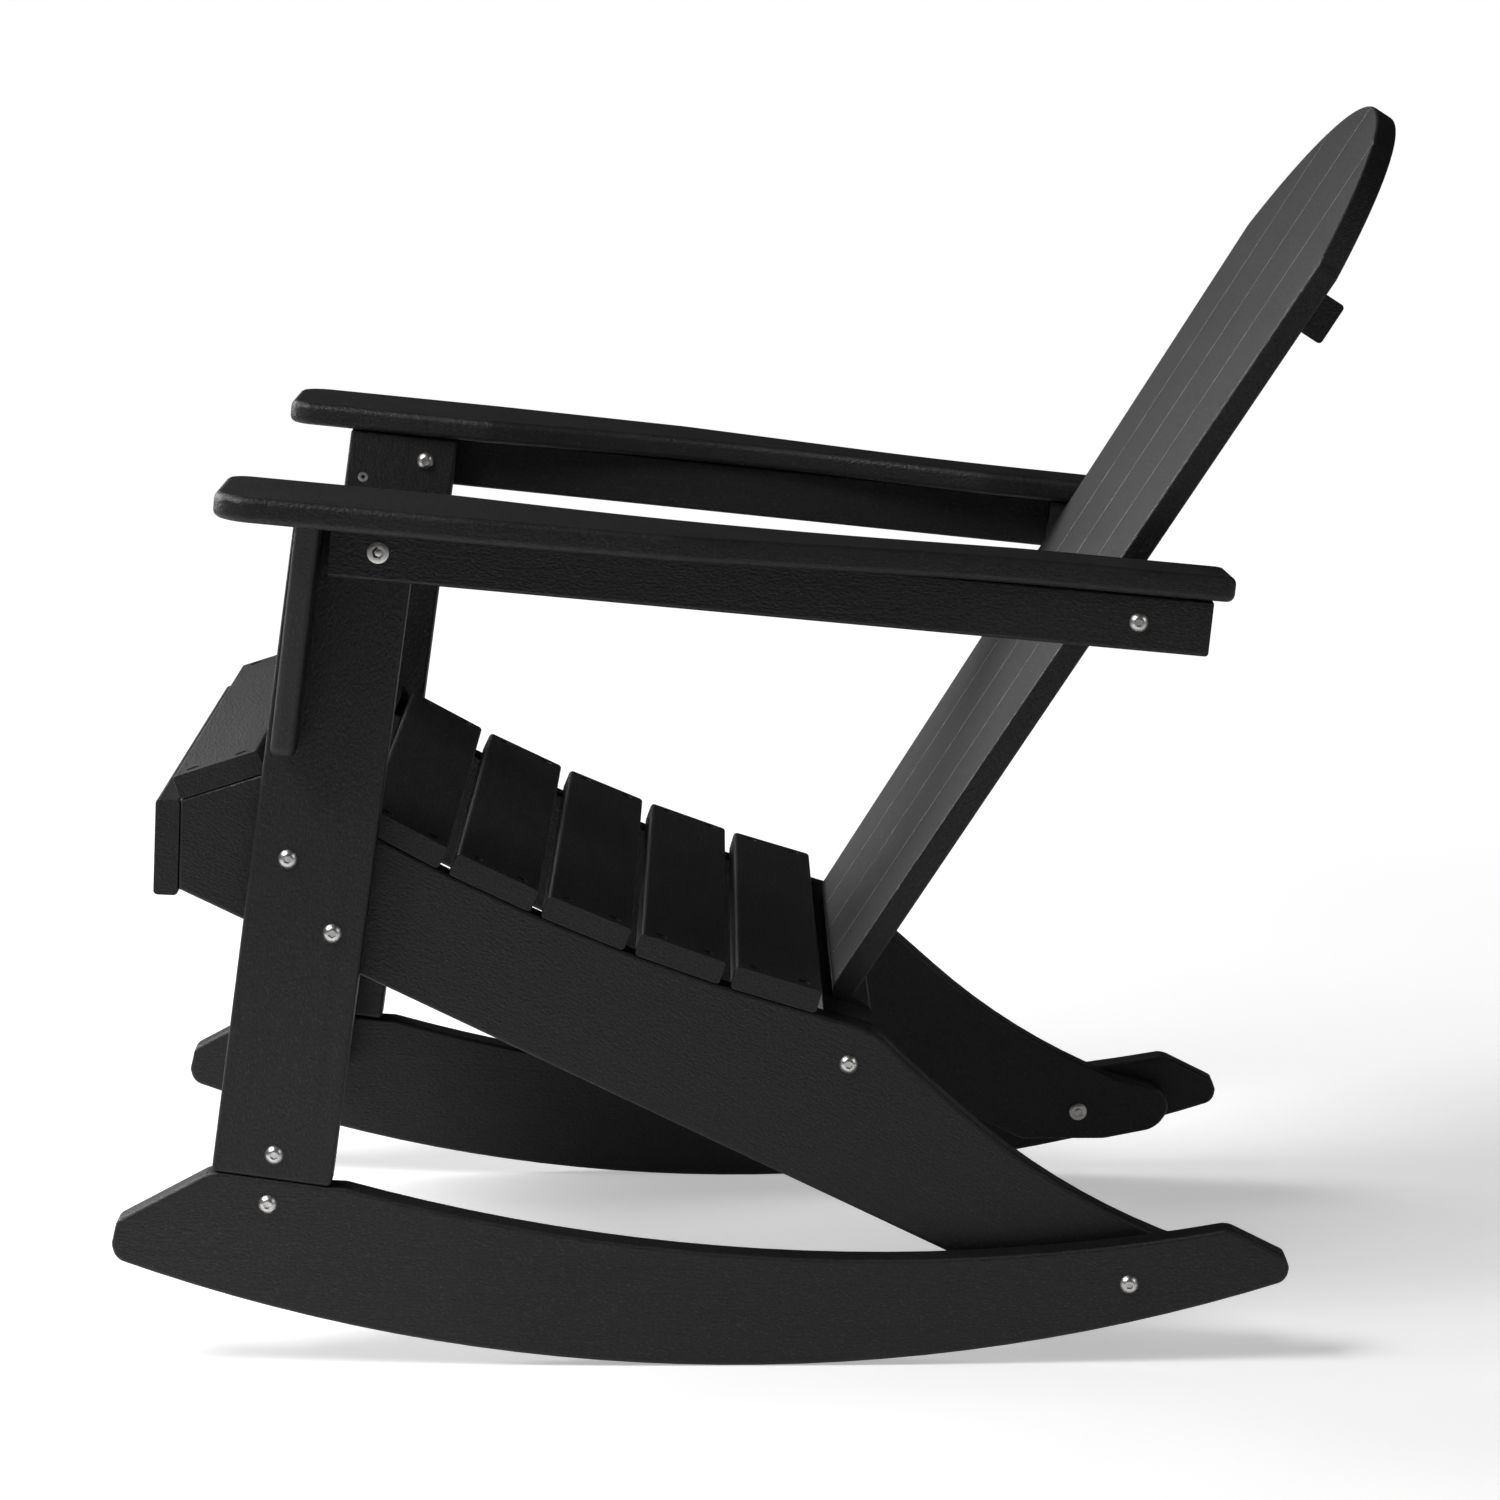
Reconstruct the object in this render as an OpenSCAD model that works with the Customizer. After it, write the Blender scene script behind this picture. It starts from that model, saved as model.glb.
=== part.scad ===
// Adirondack chair on rockers, built from flat boards, bolts and screws.
// The front of the chair faces -Y, and left is the sitter's left hand, at +X.
// Side views are drawn with Y = 0 where the rockers touch the floor.
// Every piece is then moved along Y so that the origin is the middle of the floor box.

/* [Boards] */
// Thickness of the frame boards: rockers, legs, side rails, arm rails and blocks
frame_t = 25; // [20:1:30]
// Thickness of the thin boards: slats, apron, brace and brackets
slat_t = 18; // [15:1:21]
// Width of a seat slat
slat_w = 66.5; // [60:0.5:70]
// Length of a seat slat, out to out of the two side rails
seat_w = 516; // [460:4:600]
// Space left round a fastener, and between pieces that only just clear each other
clear = 0.3; // [0.2:0.1:0.5]

/* [Rockers] */
// Radius of the floor curve
rocker_r = 1325; // [1200:5:1600]
// Reach of the rockers in front of the floor contact
rocker_front = 464; // [455:0.5:500]
// Reach of the rockers behind the floor contact
rocker_rear = 409.5; // [400:0.5:450]
// Width of the board at its slimmest place
rocker_waist_w = 77; // [70:0.5:84]
// Distance of the slimmest place behind the floor contact
rocker_waist_y = 108.5; // [90:0.5:130]
// Radius of the hollow top edge
rocker_top_r = 1460; // [1400:5:1600]
// Width of the board where its tail starts to fall away
rocker_tail_w = 51.5; // [44:0.5:56]

/* [Legs] */
// Width of a front leg
leg_w = 89; // [80:1:96]
// Rearward lean of the legs, in degrees
leg_lean = 8.1; // [6:0.1:10]
// Distance of the front corner of a leg's foot in front of the floor contact
leg_foot_y = 388.8; // [380:0.2:400]
// Height of that corner above the rocker's floor curve
leg_foot_h = 91.7; // [84:0.1:98]
// Width of the cleat that ties a leg to its rocker
cleat_w = 44; // [36:1:50]
// Length of the cleat
cleat_l = 84; // [76:1:92]
// Distance of the cleat's bolts from the seam between leg and rocker
cleat_bolt = 19; // [17:0.5:24]

/* [Side rails] */
// Slope of the lower edge, in degrees
rail_angle = 26; // [25:0.1:27]
// Distance of the heel behind the floor contact
heel_y = 243; // [230:1:256]
// Length of the foot, from heel to toe
foot_l = 124; // [112:1:136]
// Height of the foot
foot_h = 52; // [48:1:58]
// Height of the heel above the rocker's floor curve at the foot bolt
foot_lift = 6; // [4:0.5:10]
// Distance of the foot bolt behind the heel
foot_bolt_y = 47.5; // [40:0.5:54]
// Height of the foot bolt above the heel
foot_bolt_z = 24.2; // [20:0.2:28]

/* [Seat] */
// Radius of the hollow that the slat tops follow
seat_r = 1450; // [1300:5:1700]
// Gap between two slats
slat_gap = 7.5; // [5:0.5:10]
// Distance of the middle of the last slat behind the floor contact
seat_rear_y = 31.2; // [20:0.2:40]
// Height of the middle of the last slat
seat_rear_z = 289.8; // [280:0.2:300]
// Slope of the last slat, in degrees
seat_rear_slope = 16.9; // [16:0.1:18]
// Upward slope of the first slat, in degrees
nose_slope = 17.6; // [16:0.1:19]
// Gap between the first slat and the second at their lower corners
nose_gap = 2.8; // [2:0.1:4]
// Height of the apron
apron_h = 71.5; // [66:0.5:78]
// Rearward lean of the apron, in degrees
apron_lean = 2.7; // [1:0.1:4]

/* [Back] */
// Recline from upright, in degrees
recline = 32.75; // [31:0.05:35]
// Length of the back along its slope
back_l = 771; // [740:1:800]
// Space between each side of the back's foot and the side rail beside it
back_side_gap = 44; // [38:0.5:52]
// Widening of the back on each side, per unit of its length
back_flare = 0.0633; // [0.05:0.0001:0.08]
// Radius of the arched top
arch_r = 272.5; // [260:0.5:290]
// Gap between two back slats
seam = 0.8; // [0.6:0.1:1.6]
// Distance of the back's foot behind the last seat slat
back_gap = 14.35; // [12:0.05:18]
// Height of the back's foot above that slat's lower corner
back_rise = 7.1; // [6:0.1:9]
// Thickness of the lower beam
beam_t = 37; // [34:1:44]
// Height of the lower beam
beam_h = 62; // [56:1:70]
// Gap between the last seat slat and the lower beam
beam_gap = 6; // [4:0.5:8]
// Height of the headrest brace
brace_h = 33; // [28:1:40]
// Distance of the ends of the brace inside the back's outline
brace_inset = 11; // [6:0.5:20]
// Distance of the middle of the brace up the back
brace_u = 615.2; // [590:0.2:630]

/* [Arms] */
// Height of the armrest tops above the floor contact
arm_z = 628.1; // [610:0.1:650]
// Fall of the armrests towards the rear, in degrees
arm_slope = 5.7; // [4.5:0.1:7]
// Thickness of an armrest
arm_t = 18.6; // [16:0.2:21]
// Reach of an armrest in front of the floor contact, along its slope
arm_front = 371; // [365:1:380]
// Width of the front of an armrest
arm_w = 128; // [120:1:136]
// Reach of an armrest's front inwards over its leg
arm_lap = 33; // [28:1:38]
// Height of an arm rail
arm_rail_h = 41.7; // [38:0.1:46]
// Length of an arm rail behind its bolt into the cross rail
arm_rail_past = 53; // [44:0.1:54]
// Length of an armrest behind its arm rail
arm_tail = 14.8; // [12:0.1:22]
// Angle by which the arm rails close in towards the rear, in degrees
toe_in = 2.38; // [1.8:0.02:2.6]
// Length of the spacer block
spacer_l = 83; // [76:1:92]
// Length of a bracket
bracket_l = 177; // [150:1:190]
// Width of a bracket at its top
bracket_top_w = 64; // [56:1:72]
// Width of a bracket at its foot
bracket_foot_w = 28; // [24:1:34]
// Distance of a bracket behind the leg's front edge
bracket_set = 5.5; // [2:0.5:8]

/* [Fasteners] */
// Diameter of the bolts
bolt_d = 8; // [6:1:8]
// Diameter of a bolt's button head
bolt_head_d = 14; // [13:0.5:16]
// Height of a bolt's button head
bolt_head_h = 4.4; // [3.6:0.2:5]
// Width across the flats of the hexagon socket
socket_w = 5; // [4:0.5:6]
// Diameter of the sleeve of a cap nut
sleeve_d = 10.6; // [10:0.2:11]
// Depth that a long bolt reaches into end grain
lag_depth = 45; // [36:1:50]
// Diameter of a screw's shank
screw_d = 4.5; // [4:0.1:5]
// Diameter of a screw's head
screw_head_d = 8.6; // [8:0.1:9]
// Depth that a seat or apron screw reaches into the rail
screw_grip = 20; // [16:1:24]
// Distance between the two screws at a slat's end
screw_pitch = 37.4; // [32:0.2:42]
// Diameter of the dowels under the back slats
dowel_d = 8; // [7:0.5:8]
// Length of the dowels
dowel_l = 30; // [24:1:32]

/* [Hidden] */

board_colour = "#2a2b2e";
metal_colour = "#b9bcc0";

// Facets on the large floor curve, and on everything small and round
curve_fn = 720;
round_fn = 48;
// Straight steps in each rounded corner of an outline
arc_steps = 8;
// Extra length of every cut, so that it passes right through
over = 20;

// Faces across the chair, measured out from its middle
rail_out = seat_w / 2;
rail_in = rail_out - frame_t;
leg_out = rail_out + frame_t;

// Directions in the side view, turned by an angle below the level
function along(a) = [cos(a), -sin(a)];
function up(a) = [sin(a), cos(a)];
function unit(v) = v / norm(v);
function cross2(u, v) = u[0] * v[1] - u[1] * v[0];
// Point where the line through p along u meets the line through q along v
function meet(p, u, q, v) = p + u * cross2(q - p, v) / cross2(u, v);

// An outline's corners are [place, place, radius], and each becomes an arc
function corner(a, b, c, r) =
    let (u = unit(a - b), v = unit(c - b), half = acos(u * v) / 2)
    let (centre = b + unit(u + v) * r / sin(half))
    let (from = b + u * r / tan(half) - centre, sweep = 180 - 2 * half)
    let (start = atan2(from[1], from[0]), way = cross2(u, v) > 0 ? -1 : 1)
    [for (i = [0:arc_steps]) centre + r * [cos(start + way * sweep * i / arc_steps),
                                           sin(start + way * sweep * i / arc_steps)]];
function flat(p) = [p[0], p[1]];
function rounded(list) = [
    for (i = [0:len(list) - 1])
        let (a = list[(i + len(list) - 1) % len(list)], b = list[i])
        let (c = list[(i + 1) % len(list)])
        each b[2] == 0 ? [flat(b)] : corner(flat(a), flat(b), flat(c), b[2])
];
function square_corner(p) = [p[0], p[1], 0];

// Height of the rocker's floor curve at a distance from the contact
function floor_z(y) = rocker_r - sqrt(rocker_r * rocker_r - y * y);

// Foot of the leg
leg_foot = [-leg_foot_y, floor_z(leg_foot_y) + leg_foot_h];
leg_heel = leg_foot + along(leg_lean) * leg_w;
function leg_point(across, height) =
    leg_foot + along(leg_lean) * across + up(leg_lean) * height;

// Arm line: places along the slope and above the armrest's top
function arm_point(s, h) = [0, arm_z] + along(arm_slope) * s + up(arm_slope) * h;
function arm_s(p) = (p - [0, arm_z]) * along(arm_slope);
arm_rail_mid = -arm_t - arm_rail_h / 2;
arm_under = arm_point(0, -arm_t);
leg_rear_top = meet(leg_heel, up(leg_lean), arm_under, along(arm_slope));
leg_rear_s = arm_s(leg_rear_top);
bracket_rear = meet(leg_point(bracket_set + slat_t, 0), up(leg_lean), arm_under, along(arm_slope));
bracket_front = meet(leg_point(bracket_set, 0), up(leg_lean), arm_under, along(arm_slope));
bracket_top_b = (bracket_front - leg_foot) * up(leg_lean);
arm_rail_front = arm_s(bracket_rear) + bracket_set;
// Inner face of an arm rail: on the leg, then closing in behind it
function arm_rail_in(s) = leg_out - tan(toe_in) * (s - leg_rear_s);
arm_rail_x = frame_t / cos(toe_in);

// Seat: the first slat is number 0, and the rest follow the hollow to the rear
curve_slats = 6;
slat_step = 2 * atan((slat_w + slat_gap) / 2 / seat_r);
seat_centre = [seat_rear_y, seat_rear_z] + up(seat_rear_slope) * seat_r;
function slat_angle(n) = seat_rear_slope + (curve_slats - n) * slat_step;
function slat_top(n) = seat_centre - up(slat_angle(n)) * seat_r;
function slat_corner(n, side) =
    slat_top(n) + along(slat_angle(n)) * side * slat_w / 2 - up(slat_angle(n)) * slat_t;
nose_rear = slat_corner(1, -1) - along(slat_angle(1)) * nose_gap;
nose_top = nose_rear - along(-nose_slope) * slat_w / 2 + up(-nose_slope) * slat_t;
nose_front = nose_rear - along(-nose_slope) * slat_w;

// Apron and the front ends of the side rails
apron_top = nose_front - [0, clear];
heel = [heel_y, floor_z(heel_y + foot_bolt_y) + foot_lift];
rail_run = along(rail_angle);
rail_front_top = meet(apron_top, up(apron_lean), nose_front, along(-nose_slope));
rail_front_low = meet(apron_top, up(apron_lean), heel, rail_run);

// Back: its foot point, and places up the slope and behind the front face
seat_end = slat_corner(curve_slats, 1);
back_foot = seat_end + [back_gap, back_rise];
back_up = [sin(recline), cos(recline)];
back_in = [cos(recline), -sin(recline)];
back_foot_half = rail_in - back_side_gap;
function back_half(u) = back_foot_half + back_flare * u;
brace_half = back_half(brace_u) - brace_inset;
arch_u = back_l - arch_r;

// Lower beam: its top carries on the line of the last slat's underside
beam_front = seat_end[0] + beam_gap;
beam_rear = beam_front + beam_t;
function beam_land(y) = seat_end[1] - (y - seat_end[0]) * tan(seat_rear_slope);
ridge_rear = meet(back_foot, back_in, [beam_rear, 0], [0, 1]);
beam_low = beam_land(beam_front + beam_t / 2) - beam_h;

// Rail at arm height behind the back: as high as fits under the armrests
back_rail_mid = meet(arm_point(0, arm_rail_mid), along(arm_slope),
                     back_foot + back_in * 1.5 * slat_t, back_up);
back_rail_u = (back_rail_mid - back_foot) * back_up;
back_rail_s = arm_s(back_rail_mid);
arm_back_angle = recline - arm_slope;
back_rail_h = (arm_rail_h - slat_t * sin(arm_back_angle) - 2 * clear) / cos(arm_back_angle);

// The arms end behind the cross rail
arm_inner = leg_out - arm_lap;
arm_rail_rear = back_rail_s + arm_rail_past;
arm_l = arm_front + arm_rail_rear + arm_tail;

// The whole part is moved so that its floor box is centred
back_rear_y = back_foot[0] + back_l * back_up[0] + slat_t * back_in[0];
centre_y = (back_rear_y - rocker_front) / 2;

// Bolt places in the side view. Edge distances are shares of the leg's width.
leg_bolt_shares = [[0.30, 0.69], [0.74, 0.285]];
function leg_bolt(s) =
    meet(leg_point(s[0] * leg_w, 0), up(leg_lean), heel + up(rail_angle) * s[1] * leg_w, rail_run);
leg_bolt_places = [for (s = leg_bolt_shares) leg_bolt(s)];
cleat_bolt_places = [for (b = [-cleat_bolt, cleat_bolt]) leg_point(leg_w / 2, b)];
foot_bolt_place = heel + [foot_bolt_y, foot_bolt_z];
arm_bolt_s = leg_rear_s - leg_w * 0.285;
arm_bolt_place = arm_point(arm_bolt_s, arm_rail_mid);
beam_bolt_place = [beam_front + beam_t / 2, beam_low + beam_h / 2];
// A bolt head on the toed face of an arm rail sits in a shallow spot face
function spot_x(s) = arm_rail_in(s) + arm_rail_x - tan(toe_in) * (bolt_head_d / 2 + clear);
arm_bolt_seat = spot_x(arm_bolt_s);
back_bolt_seat = spot_x(back_rail_s);
// Inner face of the spacer at a bolt
spacer_in = arm_rail_in(back_rail_s) - arm_rail_x;

// Screws and dowels
bolt_hole = bolt_d + 2 * clear;
sleeve_hole = sleeve_d + 2 * clear;
screw_hole = screw_d + 2 * clear;
cone_h = (screw_head_d - screw_d) / 2;
socket_depth = bolt_head_h * 0.55;
screw_x = rail_out - frame_t / 2;
apron_screw_shares = [-0.44, -0.80];
back_slat_shares = [-0.75, -0.25, 0.25, 0.75];
back_pair_share = 0.11;
arm_screw_shares = [0.145, 0.51, 0.865];
arm_screw_sink = arm_rail_h / 2;
arm_screw_l = arm_rail_h - arm_screw_sink + arm_t * 0.65;
bracket_screw_shares = [0.22, 0.84];
bracket_screw_l = frame_t + bracket_foot_w * 0.7;
back_screw_l = 1.7 * slat_t;

// Places on the chair

module placed() {
    translate([0, -centre_y, 0]) children();
}

// Left is as drawn, and right is its mirror image
module left() {
    placed() children();
}

module right() {
    placed() mirror([1, 0, 0]) children();
}

module both_sides() {
    children();
    mirror([1, 0, 0]) children();
}

// An outline of the side view as a board from x outwards
module side_board(outline, x, t) {
    translate([x, 0, 0]) rotate([90, 0, 90]) linear_extrude(t) polygon(outline);
}

module on_leg() {
    translate([0, leg_foot[0], leg_foot[1]]) rotate([-leg_lean, 0, 0]) children();
}

module on_arm() {
    translate([0, 0, arm_z]) rotate([-arm_slope, 0, 0]) children();
}

module on_apron() {
    translate([0, apron_top[0], apron_top[1]]) rotate([-apron_lean, 0, 0]) children();
}

// Y runs up the back and Z comes out of its front face
module on_back() {
    translate([0, back_foot[0], back_foot[1]]) rotate([90 - recline, 0, 0]) children();
}

module on_slat(n) {
    if (n == 0) {
        translate([0, nose_top[0], nose_top[1]]) rotate([nose_slope, 0, 0]) children();
    } else {
        translate([0, slat_top(n)[0], slat_top(n)[1]]) rotate([-slat_angle(n), 0, 0]) children();
    }
}

// Everything above the underside of the armrests
module above_arms() {
    on_arm() translate([-leg_out * 2, -arm_l, -arm_t]) cube([leg_out * 4, arm_l * 2, arm_l]);
}

// Fasteners and their holes

// A hole along X at a place of the side view
module cross_hole(p, d, x, l, fn = round_fn) {
    translate([x, p[0], p[1]]) rotate([0, 90, 0]) cylinder(d = d, h = l, $fn = fn);
}

module at_side(p, x) {
    translate([x, p[0], p[1]]) rotate([0, 90, 0]) children();
}

// Domed head standing on Z = 0
module button_head() {
    ball_r = (bolt_head_d * bolt_head_d / 4 + bolt_head_h * bolt_head_h) / (2 * bolt_head_h);
    intersection() {
        translate([0, 0, bolt_head_h - ball_r]) sphere(r = ball_r, $fn = round_fn);
        cylinder(d = bolt_head_d * 2, h = bolt_head_h * 2, $fn = round_fn);
    }
}

// Bolt with its head above Z = 0 and its shank of length l below
module bolt(l) {
    difference() {
        union() {
            button_head();
            translate([0, 0, -l]) cylinder(d = bolt_d, h = l + clear, $fn = round_fn);
        }
        translate([0, 0, bolt_head_h - socket_depth])
            cylinder(d = socket_w / cos(30), h = over, $fn = 6);
    }
}

// Cap nut with a blind sleeve of length l below its head
module cap_nut(l) {
    difference() {
        union() {
            button_head();
            translate([0, 0, -l]) cylinder(d = sleeve_d, h = l + clear, $fn = round_fn);
        }
        translate([0, 0, -l - over]) cylinder(d = bolt_hole, h = l + over, $fn = round_fn);
    }
}

// Countersunk screw of length l with its flat head at Z = 0, grown by a clearance
module screw_form(l, grow) {
    translate([0, 0, -l - grow]) cylinder(d = screw_d + 2 * grow, h = l + grow, $fn = round_fn);
    translate([0, 0, -cone_h - grow])
        cylinder(d1 = screw_d + 2 * grow, d2 = screw_head_d + 2 * grow, h = cone_h, $fn = round_fn);
    translate([0, 0, -grow]) cylinder(d = screw_head_d + 2 * grow, h = grow, $fn = round_fn);
}

module screw(l) {
    screw_form(l, 0);
}

module screw_hole(l) {
    screw_form(l, clear);
    cylinder(d = screw_head_d + 2 * clear, h = over, $fn = round_fn);
}

// Where each kind of fastener goes, on the left side

module each_seat_screw(n) {
    for (x = [-screw_x, screw_x])
        for (y = [-screw_pitch / 2, screw_pitch / 2])
            on_slat(n) translate([x, y, 0]) children();
}

module each_apron_screw() {
    for (x = [-screw_x, screw_x])
        for (s = apron_screw_shares)
            on_apron() translate([x, -slat_t, apron_h * s]) rotate([90, 0, 0]) children();
}

// Screws at a height u of the back, driven from behind
module each_back_screw(u) {
    for (s = back_slat_shares)
        for (p = [-back_pair_share, back_pair_share])
            on_back() translate([(s + p) * back_half(u), u, -2 * slat_t]) rotate([180, 0, 0])
                children();
}

module each_dowel() {
    for (s = back_slat_shares)
        for (p = [-back_pair_share, back_pair_share])
            on_back() translate([(s + p) * back_half(0), 0, -slat_t / 2]) rotate([-90, 0, 0])
                children();
}

// Screws driven up through an arm rail
module each_armrest_screw() {
    for (s = arm_screw_shares) {
        y = arm_rail_front + (arm_rail_rear - arm_rail_front) * s;
        on_arm() translate([arm_rail_in(y) + arm_rail_x / 2, y, arm_screw_sink - arm_t - arm_rail_h])
            rotate([180, 0, 0]) children();
    }
}

module each_bracket_screw() {
    for (s = bracket_screw_shares)
        on_leg() translate([rail_out, bracket_set + slat_t / 2, bracket_top_b - bracket_l * s])
            rotate([0, -90, 0]) children();
}

// Boards

// Rocker outline: nose, leg seat, hollow top edge and tail over the floor curve
nose_shares = [[0.9907, 0.583], [1, 0.196], [0.9916, -0.085]];
tail_shares = [[0.8948, 1], [0.9927, 0.371], [1, 0.186], [0.992, -0.10]];
nose_round = leg_foot_h / 10;
rocker_outline = rounded(concat(
    [square_corner(leg_foot), square_corner(leg_heel)],
    [for (s = tail_shares)
        [rocker_rear * s[0], floor_z(rocker_rear * s[0]) + rocker_tail_w * s[1],
         s[1] == 1 ? 2 * nose_round : nose_round * 0.6]],
    [[rocker_rear * 0.97, -over, 0], [-rocker_front * 0.97, -over, 0]],
    [for (i = [2:-1:0])
        [-rocker_front * nose_shares[i][0],
         floor_z(rocker_front * nose_shares[i][0]) + rocker_tail_w * nose_shares[i][1],
         nose_round]]
));

module rocker() {
    top = floor_z(rocker_waist_y) + rocker_waist_w + rocker_top_r;
    color(board_colour) difference() {
        intersection() {
            side_board(rocker_outline, rail_out, frame_t);
            cross_hole([0, rocker_r], rocker_r * 2, rail_out, frame_t, curve_fn);
        }
        cross_hole([rocker_waist_y, top], rocker_top_r * 2, rail_out - over, frame_t + 2 * over, curve_fn);
        cross_hole(cleat_bolt_places[0], bolt_hole, rail_out - over, frame_t + 2 * over);
        cross_hole(foot_bolt_place, bolt_hole, rail_out - over, frame_t + 2 * over);
    }
}

module front_leg() {
    color(board_colour) difference() {
        on_leg() translate([rail_out, 0, 0]) cube([frame_t, leg_w, arm_z]);
        above_arms();
        for (p = leg_bolt_places)
            cross_hole(p, bolt_hole, rail_out - over, frame_t + 2 * over);
        cross_hole(cleat_bolt_places[1], bolt_hole, rail_out - over, frame_t + 2 * over);
        cross_hole(arm_bolt_place, sleeve_hole, rail_out - over, frame_t + 2 * over);
        each_bracket_screw() screw_hole(bracket_screw_l);
    }
}

module leg_cleat() {
    color(board_colour) difference() {
        on_leg() translate([rail_in, (leg_w - cleat_w) / 2, -cleat_l / 2])
            cube([frame_t, cleat_w, cleat_l]);
        for (p = cleat_bolt_places)
            cross_hole(p, sleeve_hole, rail_in - over, frame_t + 2 * over);
    }
}

// Side rail outline: flats under each slat, shoulder behind the beam, and foot
foot_shares = [[0.637, 1, 0.32], [0.972, 0.827, 0.14], [1.009, 0.477, 0.12], [0.917, 0.167, 0.19], [0.56, 0, 0.3]];
hollow_shares = [0.552, 0.727];
rail_shoulder = rocker_waist_w * 0.345;
shoulder = [beam_rear + rail_shoulder, beam_land(beam_rear) - rail_shoulder];
instep = heel + [foot_l * foot_shares[0][0], foot_h * foot_shares[0][1]];
hollow = [shoulder[0] + (instep[0] - shoulder[0]) * hollow_shares[0],
          shoulder[1] + (instep[1] - shoulder[1]) * hollow_shares[1]];
// The hollow's curve runs over nearly all of the shorter of its two sides
hollow_half = acos(unit(shoulder - hollow) * unit(instep - hollow)) / 2;
hollow_r = 0.94 * min(norm(shoulder - hollow), norm(instep - hollow)) * tan(hollow_half);
side_rail_outline = rounded(concat(
    [square_corner(rail_front_low), square_corner(rail_front_top), square_corner(nose_rear)],
    [for (n = [1:curve_slats]) each [square_corner(slat_corner(n, -1)), square_corner(slat_corner(n, 1))]],
    [[beam_rear, beam_land(beam_rear), 0], square_corner(shoulder), [hollow[0], hollow[1], hollow_r]],
    [for (s = foot_shares) [heel[0] + foot_l * s[0], heel[1] + foot_h * s[1], foot_l * s[2]]],
    [square_corner(heel)]
));

module side_rail() {
    color(board_colour) difference() {
        side_board(side_rail_outline, rail_in, frame_t);
        for (p = concat(leg_bolt_places, [foot_bolt_place]))
            cross_hole(p, sleeve_hole, rail_in - over, frame_t + 2 * over);
        cross_hole(beam_bolt_place, bolt_hole, rail_in - over, frame_t + 2 * over);
        for (n = [0:curve_slats])
            each_seat_screw(n) screw_hole(slat_t + screw_grip);
        each_apron_screw() screw_hole(slat_t + screw_grip);
    }
}

module front_apron() {
    color(board_colour) placed() difference() {
        on_apron() translate([-rail_out, -slat_t, -apron_h]) cube([seat_w, slat_t, apron_h]);
        each_apron_screw() screw_hole(slat_t + screw_grip);
    }
}

module seat_slat(n) {
    color(board_colour) placed() difference() {
        on_slat(n) translate([-rail_out, -slat_w / 2, -slat_t]) cube([seat_w, slat_w, slat_t]);
        each_seat_screw(n) screw_hole(slat_t + screw_grip);
    }
}

// Beam under the back: a ridge in its middle carries the back slats
module lower_back_beam() {
    land_front = [beam_front, beam_land(beam_front)];
    land_rear = [beam_rear, beam_land(beam_rear)];
    color(board_colour) placed() difference() {
        union() {
            side_board([land_front, land_rear, [beam_rear, beam_low], [beam_front, beam_low]],
                       -rail_in, 2 * rail_in);
            side_board([back_foot, ridge_rear, [beam_rear, beam_low], [back_foot[0], beam_low]],
                       -back_foot_half, 2 * back_foot_half);
        }
        each_dowel() translate([0, 0, -dowel_l / 2 - clear])
            cylinder(d = dowel_d + 2 * clear, h = dowel_l + 2 * clear, $fn = round_fn);
        both_sides() cross_hole(beam_bolt_place, bolt_hole, rail_in - lag_depth - clear, lag_depth + over);
    }
}

// Back slats are cut from one fan and arched together at the top
function seam_x(i, u) = back_half(u) * (i / 2 - 1);

module back_slat(i) {
    left_gap = i == 0 ? 0 : seam / 2;
    right_gap = i == 3 ? 0 : seam / 2;
    color(board_colour) placed() difference() {
        on_back() translate([0, 0, -slat_t]) intersection() {
            linear_extrude(slat_t) polygon([
                [seam_x(i, 0) + left_gap, 0], [seam_x(i + 1, 0) - right_gap, 0],
                [seam_x(i + 1, back_l) - right_gap, back_l], [seam_x(i, back_l) + left_gap, back_l]
            ]);
            union() {
                translate([-arch_r, 0, 0]) cube([2 * arch_r, arch_u, slat_t]);
                translate([0, arch_u, 0]) cylinder(r = arch_r, h = slat_t, $fn = curve_fn);
            }
        }
        for (u = [brace_u, back_rail_u])
            each_back_screw(u) screw_hole(back_screw_l);
        each_dowel() translate([0, 0, -dowel_l / 2 - clear])
            cylinder(d = dowel_d + 2 * clear, h = dowel_l + 2 * clear, $fn = round_fn);
    }
}

module headrest_brace() {
    color(board_colour) placed() difference() {
        on_back() translate([-brace_half, brace_u - brace_h / 2, -2 * slat_t])
            cube([2 * brace_half, brace_h, slat_t]);
        each_back_screw(brace_u) screw_hole(back_screw_l);
    }
}

// Its ends are cut to the toe of the spacers
module back_arm_rail() {
    color(board_colour) placed() difference() {
        on_back() translate([-leg_out, back_rail_u - back_rail_h / 2, -2 * slat_t])
            cube([2 * leg_out, back_rail_h, slat_t]);
        both_sides() on_arm() translate([0, 0, -arm_t - 2 * arm_rail_h]) linear_extrude(3 * arm_rail_h)
            polygon([[arm_rail_in(0) - arm_rail_x, 0], [arm_rail_in(arm_l) - arm_rail_x, arm_l],
                     [2 * leg_out, arm_l], [2 * leg_out, 0]]);
        both_sides() cross_hole(back_rail_mid, bolt_hole, spacer_in - lag_depth, lag_depth + over);
        each_back_screw(back_rail_u) screw_hole(back_screw_l);
    }
}

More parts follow.
